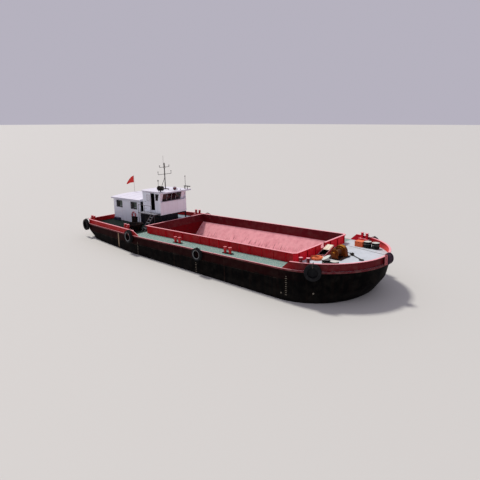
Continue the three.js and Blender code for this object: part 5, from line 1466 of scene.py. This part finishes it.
# Fore store hatch: a red trunk, near black inside as painted shade, with a pinkish rim along its top edges as
# a painted highlight, and a cream lid with a grab bar and stiffeners.
TRUNK_LOW, TRUNK_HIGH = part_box("store_hatch_trunk")
LID_LOW, LID_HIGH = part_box("store_hatch_lid")
TRUNK_SKIN = 0.03
MOUTH_Y = (-0.950, 0.430)
MOUTH_Z = (2.880, 3.360)
GRIP_Y = -0.20
GRIP = ((11.03, 0.0), (11.03, 0.05), (11.25, 0.05), (11.25, 0.0))


def above_mouth(x, y, lift):
    """A point over the trunk's sloping mouth."""
    slope = (MOUTH_Z[1] - MOUTH_Z[0]) / (MOUTH_Y[1] - MOUTH_Y[0])
    return Vector((x, y, MOUTH_Z[1] + slope * (y - MOUTH_Y[1]) + lift))


lid_paint = painted("lid_cream", colour(236, 226, 204), size=2.0, chips=0.3, runs=0.3, dirt=0.3,
                    soil=colour(190, 176, 150), wear=0.3)
paint_nodes(lid_paint, "store_hatch_lid")
trunk = Paint("hatch_trunk_red")
# The trunk's inside is painted near black as shade
trunk_shaded_inside = trunk.times(*trunk.tests(
    trunk.place(), X=(TRUNK_LOW.x + TRUNK_SKIN, TRUNK_HIGH.x - TRUNK_SKIN),
    Y=(TRUNK_LOW.y + TRUNK_SKIN, TRUNK_HIGH.y - TRUNK_SKIN),
))
paint_nodes(finish(trunk, trunk.mix(trunk_shaded_inside, COAMING_RED, colour(12, 8, 9)), chips=0.2, runs=0.1, dirt=0.1,
                   bare=COAMING_BARE, wear=0.25, seed=3.0), "store_hatch_trunk")
form = Form()
for x in (LID_LOW.x + 0.05, (LID_LOW.x + LID_HIGH.x) / 2, LID_HIGH.x - 0.05):
    form.rod(above_mouth(x, -0.22, 0.036), above_mouth(x, 0.36, 0.036), 0.012, 8)
form.tube([above_mouth(x, GRIP_Y, 0.034 + lift) for x, lift in GRIP], 0.009, 8)
form.put("hatch_lid_fittings", "store_hatch_lid", [lid_paint], "house_white")
form = Form()
# The pink rim along the top edges is a painted highlight
sides = [[(x, y, z) for y, z in zip(MOUTH_Y, MOUTH_Z)] for x in (TRUNK_LOW.x, TRUNK_HIGH.x)]
for start, end in (*sides, (sides[0][0], sides[1][0])):
    form.rod(start, end, 0.018, 8)
rim_pink = painted("rim_pink", RAIL_PINK, size=3.0, chips=0.4, dirt=0.3, wear=0.0)
form.put("hatch_rim", "hull", [rim_pink], "band_red")


# Drums: pressed steel with rolling hoops and rims, dark green, their heads pale, which is also a painted
# highlight, two bungs in each.
# The port pair's cradle carries an orange chest; a spare head lies tilted on the aft starboard drum.
DRUM_RADIUS = 0.300
DRUM_TALL = 0.500
DRUM_PITCH = 0.700
PAIRS = (
    # node, centre x, centre y, turn in degrees
    ("drum_pair_starboard", 13.140, -3.100, -5),
    ("drum_pair_port", 13.230, 3.330, -3),
)
HOOPS_Z = (0.16, 0.32)
HOOP = ((-0.01, -0.014), (0.004, -0.010), (0.012, 0.0), (0.004, 0.010), (-0.01, 0.014))
BUNGS = ((0.17, 0.035), (-0.19, 0.022))
SPARE_AT = (12.790, -3.070, DECK_Z + DRUM_TALL + 0.135)
SPARE_FACES = Vector((-0.35, -0.30, 0.89))
SPARE = ((0, 0), (0.29, 0), (0.30, 0.012), (0.29, 0.024), (0, 0.018))
CHEST_END_X = 12.56


def drum_material():
    """Dark green steel, pale heads that are also a painted highlight; what lies aft of the port pair is the
    orange chest.
    """
    paint = Paint("drum_green")
    at = paint.place()
    head = paint.times(paint.up(), paint.ramp(at["Z"], DECK_Z + 0.2, DECK_Z + 0.3))
    chest = paint.times(*paint.tests(at, X=(None, CHEST_END_X), Y=(0.0, None)))
    # The pale up-facing heads are paint and also a painted highlight
    tone = paint.mix(head, colour(9, 20, 19), colour(206, 206, 198))
    return finish(paint, paint.mix(chest, tone, colour(226, 108, 66)), size=2.0, seed=29.0, chips=0.15,
                  runs=0.1, dirt=0.15, soil=colour(84, 84, 76), wear=0.1, gloss=0.4)


def pair_place(x, y, turn):
    """The matrix of a cradle on the fore deck."""
    return Matrix.Translation((x, y, DECK_Z)) @ Matrix.Rotation(math.radians(turn), 4, "Z")


drum_green = drum_material()
paint_nodes(drum_green, *[label for label, *_ in PAIRS])
form = Form()
for (_, *pair), offset in itertools.product(PAIRS, (-DRUM_PITCH / 2, DRUM_PITCH / 2)):
    place = pair_place(*pair) @ Matrix.Translation((offset, 0, 0))
    for z in HOOPS_Z:
        form.turned([(DRUM_RADIUS + grow, z + lift) for grow, lift in HOOP], 32, place)
    form.collar(DRUM_RADIUS - 0.022, DRUM_RADIUS + 0.006, 0.455, DRUM_TALL + 0.008, 32, place)
    for across, radius in BUNGS:
        form.knob(radius, radius, 0.012, 10, place @ Matrix.Translation((across, 0.06, DRUM_TALL)))
tilt = SPARE_FACES.to_track_quat("Z", "Y").to_matrix().to_4x4()
form.turned(SPARE, 32, Matrix.Translation(SPARE_AT) @ tilt, 1)
head_pale = painted("drum_head", colour(206, 214, 206), size=3.0, chips=0.2, dirt=0.3, wear=0.2)
form.put("drum_hoops", "hull", [drum_green, head_pale], "dark_steel")
form = Form()
chest_place = pair_place(*PAIRS[1][1:])
form.box((-1.392, -0.272, 0.400), (-0.678, 0.342, 0.442), chest_place)
for x in (-1.30, -1.03):
    form.box((x, -0.276, 0.34), (x + 0.04, -0.262, 0.40), chest_place, 1)
chest_orange = painted("chest_orange", colour(232, 122, 80), size=3.0, chips=0.3, dirt=0.3, wear=0.3)
form.put("chest_lid", "hull", [chest_orange, gasket], "ring_orange")


# Deck tub: a flared black steel tub with a rolled rim and two lifting lugs.
TUB_LOW, TUB_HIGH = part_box("deck_tub")
TUB_TOP = Vector(((TUB_LOW.x + TUB_HIGH.x) / 2, (TUB_LOW.y + TUB_HIGH.y) / 2, TUB_HIGH.z))
TUB_RADIUS = 0.765
LUG = ((0, -0.09), (0.05, -0.07), (0.05, 0.07), (0, 0.09))
tub_black = painted("tub_black", colour(12, 12, 15), size=2.0, chips=0.3, runs=0.3, dirt=0.3,
                    soil=colour(46, 42, 44), wear=0.3)
paint_nodes(tub_black, "deck_tub")
form = Form()
rim = arc(TUB_TOP, AHEAD * TUB_RADIUS, ABEAM * TUB_RADIUS, sweep(0, math.tau, 40)[:-1])
form.tube(rim, 0.016, 8, closed=True)
for _, side in SIDES:
    foot = TUB_TOP + Vector((side * 0.69, 0, -0.16))
    form.tube([foot + Vector((side * out, y, 0)) for out, y in LUG], 0.012, 8)
form.put("tub_rim", "hull", [tub_black], "dark_steel")


# Rescue ring: a red foam ring with four pale bands and a grab line seized at each of them, flat against
# the crew house's side above a tall black locker. A blue locker stands further aft.
RING_LOW, RING_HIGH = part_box("rescue_ring")
RING_AT = (RING_LOW + RING_HIGH) / 2
RING_RADIUS = 0.295
RING_TUBE = 0.068
LINE_STEPS = 96
LOCKERS = (
    # x aft and fore, how far it stands out, foot, lid's top, paint
    (-12.25, -11.53, 0.22, 2.85, 3.49, 0),
    (-15.50, -14.60, 0.30, 2.80, 3.09, 1),
)
LID = Vector((0.02, 0.02, 0.03))
buoy = Paint("ring_orange_banded")
buoy_at = buoy.place()
buoy_turn = buoy.maths("ARCTAN2", buoy.maths("SUBTRACT", buoy_at["Z"], RING_AT.z),
                       buoy.maths("SUBTRACT", buoy_at["X"], RING_AT.x))
band = buoy.ramp(buoy.maths("COSINE", buoy.times(buoy_turn, 4.0)), -0.74, -0.80)
paint_nodes(finish(buoy, buoy.mix(band, colour(190, 34, 62), colour(236, 206, 214)), size=3.0, chips=0.1,
                   dirt=0.3, wear=0.0, gloss=0.6), "rescue_ring")
line_white = rope_material("grab_line", colour(226, 220, 206), colour(150, 140, 122), 0.05, 3)
form = Form()
line = []
for step in range(LINE_STEPS):
    turn = math.tau * step / LINE_STEPS
    sag = 0.012 + 0.030 * abs(math.cos(2 * turn))
    reach = RING_RADIUS + RING_TUBE * 0.72 + 0.004 - sag * 0.2
    line.append(Vector((RING_AT.x + reach * math.cos(turn), RING_LOW.y + 0.020 - 0.004 * math.cos(4 * turn),
                        RING_AT.z + reach * math.sin(turn))))
form.tube(line, 0.006, 6, closed=True)
form.put("ring_grab_line", "hull", [line_white], "ring_orange")
form = Form()
for aft_x, fore_x, out, foot, top, paint in LOCKERS:
    form.box((aft_x, HOUSE_LOW.y - out, foot), (fore_x, HOUSE_LOW.y, top - LID.z), paint=paint)
    form.box((aft_x - LID.x, HOUSE_LOW.y - out - LID.y, top - LID.z), (fore_x + LID.x, HOUSE_LOW.y, top),
             paint=paint)
locker_blue = painted("locker_blue", colour(28, 36, 70), size=2.0, chips=0.3, dirt=0.3)
form.put("house_lockers", "hull", [lamp_black, locker_blue], "dark_steel")


# Ensign: a plain red flag of woven wool bunting, 1.20 m by 0.80 m, toggled to its staff by the hoist and
# hanging in folds. The staff is painted white.
STAFF_LOW, STAFF_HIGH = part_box("ensign_staff")
STAFF_TOP = Vector(((STAFF_LOW.x + STAFF_HIGH.x) / 2, (STAFF_LOW.y + STAFF_HIGH.y) / 2, STAFF_HIGH.z))
FLAG_TURN = math.radians(205)
FLAG_FLAT = (0.80, 1.20)
FLAG_CELLS = (56, 34)
FLAG_THICK = 0.0012
FLAG_OFF = 0.024
# The flag's head and foot as points outward from the staff and down from its top
HEAD_EDGE = ((0.0, 0.055), (0.26, 0.165), (0.62, 0.515), (1.0, 0.985))
FOOT_EDGE = ((0.0, 0.845), (0.42, 0.885), (0.68, 0.985), (0.90, 1.075))


def on_line(points, share):
    """The point at a share of the way along an open line, smoothed."""
    at = share * (len(points) - 1)
    index = min(int(at), len(points) - 2)
    t = at - index
    near = [min(max(index + step, 0), len(points) - 1) for step in (-1, 0, 1, 2)]
    before, a, b, after = [Vector(points[place]) for place in near]
    return 0.5 * (2 * a + (b - before) * t + (2 * before - 5 * a + 4 * b - after) * t * t
                  + (3 * a - before - 3 * b + after) * t ** 3)


def flag_point(u, v):
    """A point of the cloth: u from hoist to fly, v from head to foot."""
    out, depth = on_line(HEAD_EDGE, u).lerp(on_line(FOOT_EDGE, u), v)
    fold = 0.046 * min(1, 2.2 * u) * math.sin(math.tau * (2.1 * v + 0.55 * u) + 0.6)
    fold += 0.008 * math.sin(math.tau * (5.2 * u - 1.3 * v))
    place = Vector((out + FLAG_OFF, fold, -depth))
    return STAFF_TOP + Matrix.Rotation(FLAG_TURN, 3, "Z") @ place


def flag_normal(u, v):
    """Which way the cloth faces at a point."""
    across = flag_point(min(1, u + 0.01), v) - flag_point(max(0, u - 0.01), v)
    return across.cross(flag_point(u, min(1, v + 0.01)) - flag_point(u, max(0, v - 0.01))).normalized()


def flag_form():
    """The cloth as a thin closed sheet with UVs in its flat metres."""
    cloth = Form()
    weave = cloth.mesh.loops.layers.uv.verify()
    across, down = FLAG_CELLS
    faces = []
    for side in (-1, 1):
        grid = {}
        for i, j in itertools.product(range(across + 1), range(down + 1)):
            u, v = i / across, j / down
            here = flag_point(u, v) + flag_normal(u, v) * side * FLAG_THICK / 2
            grid[i, j] = cloth.mesh.verts.new(here)
        faces.append(grid)
    for grid, i, j in itertools.product(faces, range(across), range(down)):
        cell = ((i, j), (i + 1, j), (i + 1, j + 1), (i, j + 1))
        face = cloth.mesh.faces.new([grid[corner] for corner in cell])
        for loop, (column, row) in zip(face.loops, cell):
            loop[weave].uv = (column / across * FLAG_FLAT[1], row / down * FLAG_FLAT[0])
    border_line = [(i, 0) for i in range(across)] + [(across, j) for j in range(down)]
    border_line += [(i, down) for i in range(across, 0, -1)] + [(0, j) for j in range(down, 0, -1)]
    back, front = faces
    for here, after in zip(border_line, border_line[1:] + border_line[:1]):
        cloth.mesh.faces.new((back[here], back[after], front[after], front[here]))
    return cloth


bunting = Paint("flag_bunting", {"Roughness": 0.9, "Sheen Weight": 0.3})
bunting_uv = bunting.add("UVMap")["UV"]
faded = bunting.mix(bunting.noise(bunting_uv, 3.0, 4.0), colour(206, 28, 30), colour(232, 58, 48))
bunting.feed({"Base Color": faded, "Normal": bunting.bump(bunting.noise(bunting_uv, 240.0, 2.0), 0.3, 0.001)})
ensign = flag_form().put("ensign", "hull", [bunting.material], "flag_cloth")
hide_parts("ensign_flag")
form = Form()
form.tube([flag_point(0, v) for v in sweep(0, 1, 10)], 0.007, 8)
for v in (0.0, 1.0):
    start = flag_point(0, v)
    form.rod(start, (STAFF_TOP.x, STAFF_TOP.y, start.z), 0.005, 8)
hoist_line = form.put("ensign_hoist", "hull", [line_white], "flag_cloth")
paint_nodes(painted("staff_white", colour(196, 194, 190), size=4.0, chips=0.4, dirt=0.4, wear=0.3,
                    bare=colour(132, 104, 70)), "ensign_staff")


# Running gear: four-bladed bronze propellers with dark edges, black rudders with zinc anodes.
ANODES_X = (0.30, 0.62)
ANODE_Z = (0.52, 0.60)
bronze_paint = painted("bronze_sea_worn", colour(150, 112, 58), size=4.0, chips=0.3, dirt=0.6,
                       soil=colour(70, 84, 66), bare=colour(196, 156, 90), wear=0.5, gloss=0.35)
bronze_paint.node_tree.nodes["Principled BSDF"].inputs["Metallic"].default_value = 0.6
paint_nodes(bronze_paint, "propeller_starboard", "propeller_port")
paint_nodes(tub_black, "rudder_starboard", "rudder_port")
zinc = painted("zinc_anode", colour(150, 152, 150), size=6.0, chips=0.5, dirt=0.6, wear=0.3)
for hand, _ in SIDES:
    low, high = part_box(f"rudder_{hand}")
    blade = (low.y + high.y) / 2
    form = Form()
    for (near, far), x in itertools.product(((-0.061, -0.045), (0.045, 0.061)), ANODES_X):
        form.box((low.x + x - 0.10, blade + near, ANODE_Z[0]), (low.x + x + 0.10, blade + far, ANODE_Z[1]))
    form.put(f"rudder_anodes_{hand}", f"rudder_{hand}", [zinc], "galvanised")


# Anchor chain: rusty studless chain from the windlass through a deck stopper to the flat hawse cover.
LEAD = Vector((12.58, 0.20, DECK_Z + 0.30))
STOPPER = Vector((12.95, 0.55, DECK_Z))
COVER = Vector((14.10, -0.25, DECK_Z))
CHAIN_PATH = (LEAD, STOPPER + UP * 0.10, STOPPER.lerp(COVER, 0.3) + UP * 0.03, COVER + UP * 0.035)
ANCHOR_WIRE = 0.013
fine = [a.lerp(b, step / 8) for a, b in zip(CHAIN_PATH, CHAIN_PATH[1:]) for step in range(8)]
chain_black = painted("chain_black", colour(20, 18, 18), size=5.0, chips=0.4, dirt=0.4, wear=0.0)
form = Form()
form.stamp(chain([[*fine, CHAIN_PATH[-1]]], ANCHOR_WIRE, chain_black))
heading = (COVER - STOPPER).normalized().to_track_quat("X", "Z").to_matrix().to_4x4()
stopper_at = Matrix.Translation(STOPPER) @ heading
form.box((-0.16, -0.11, 0), (0.16, 0.11, 0.02), stopper_at, 1)
for _, side in SIDES:
    form.box((-0.13, side * 0.075 - 0.018, 0.02), (0.13, side * 0.075 + 0.018, 0.19), stopper_at, 1)
form.knob(0.20, 0.19, 0.03, 24, Matrix.Translation(COVER) @ heading, 1, crown=0.01)
form.put("anchor_chain", "hull", [chain_black, lamp_black], "dark_steel")
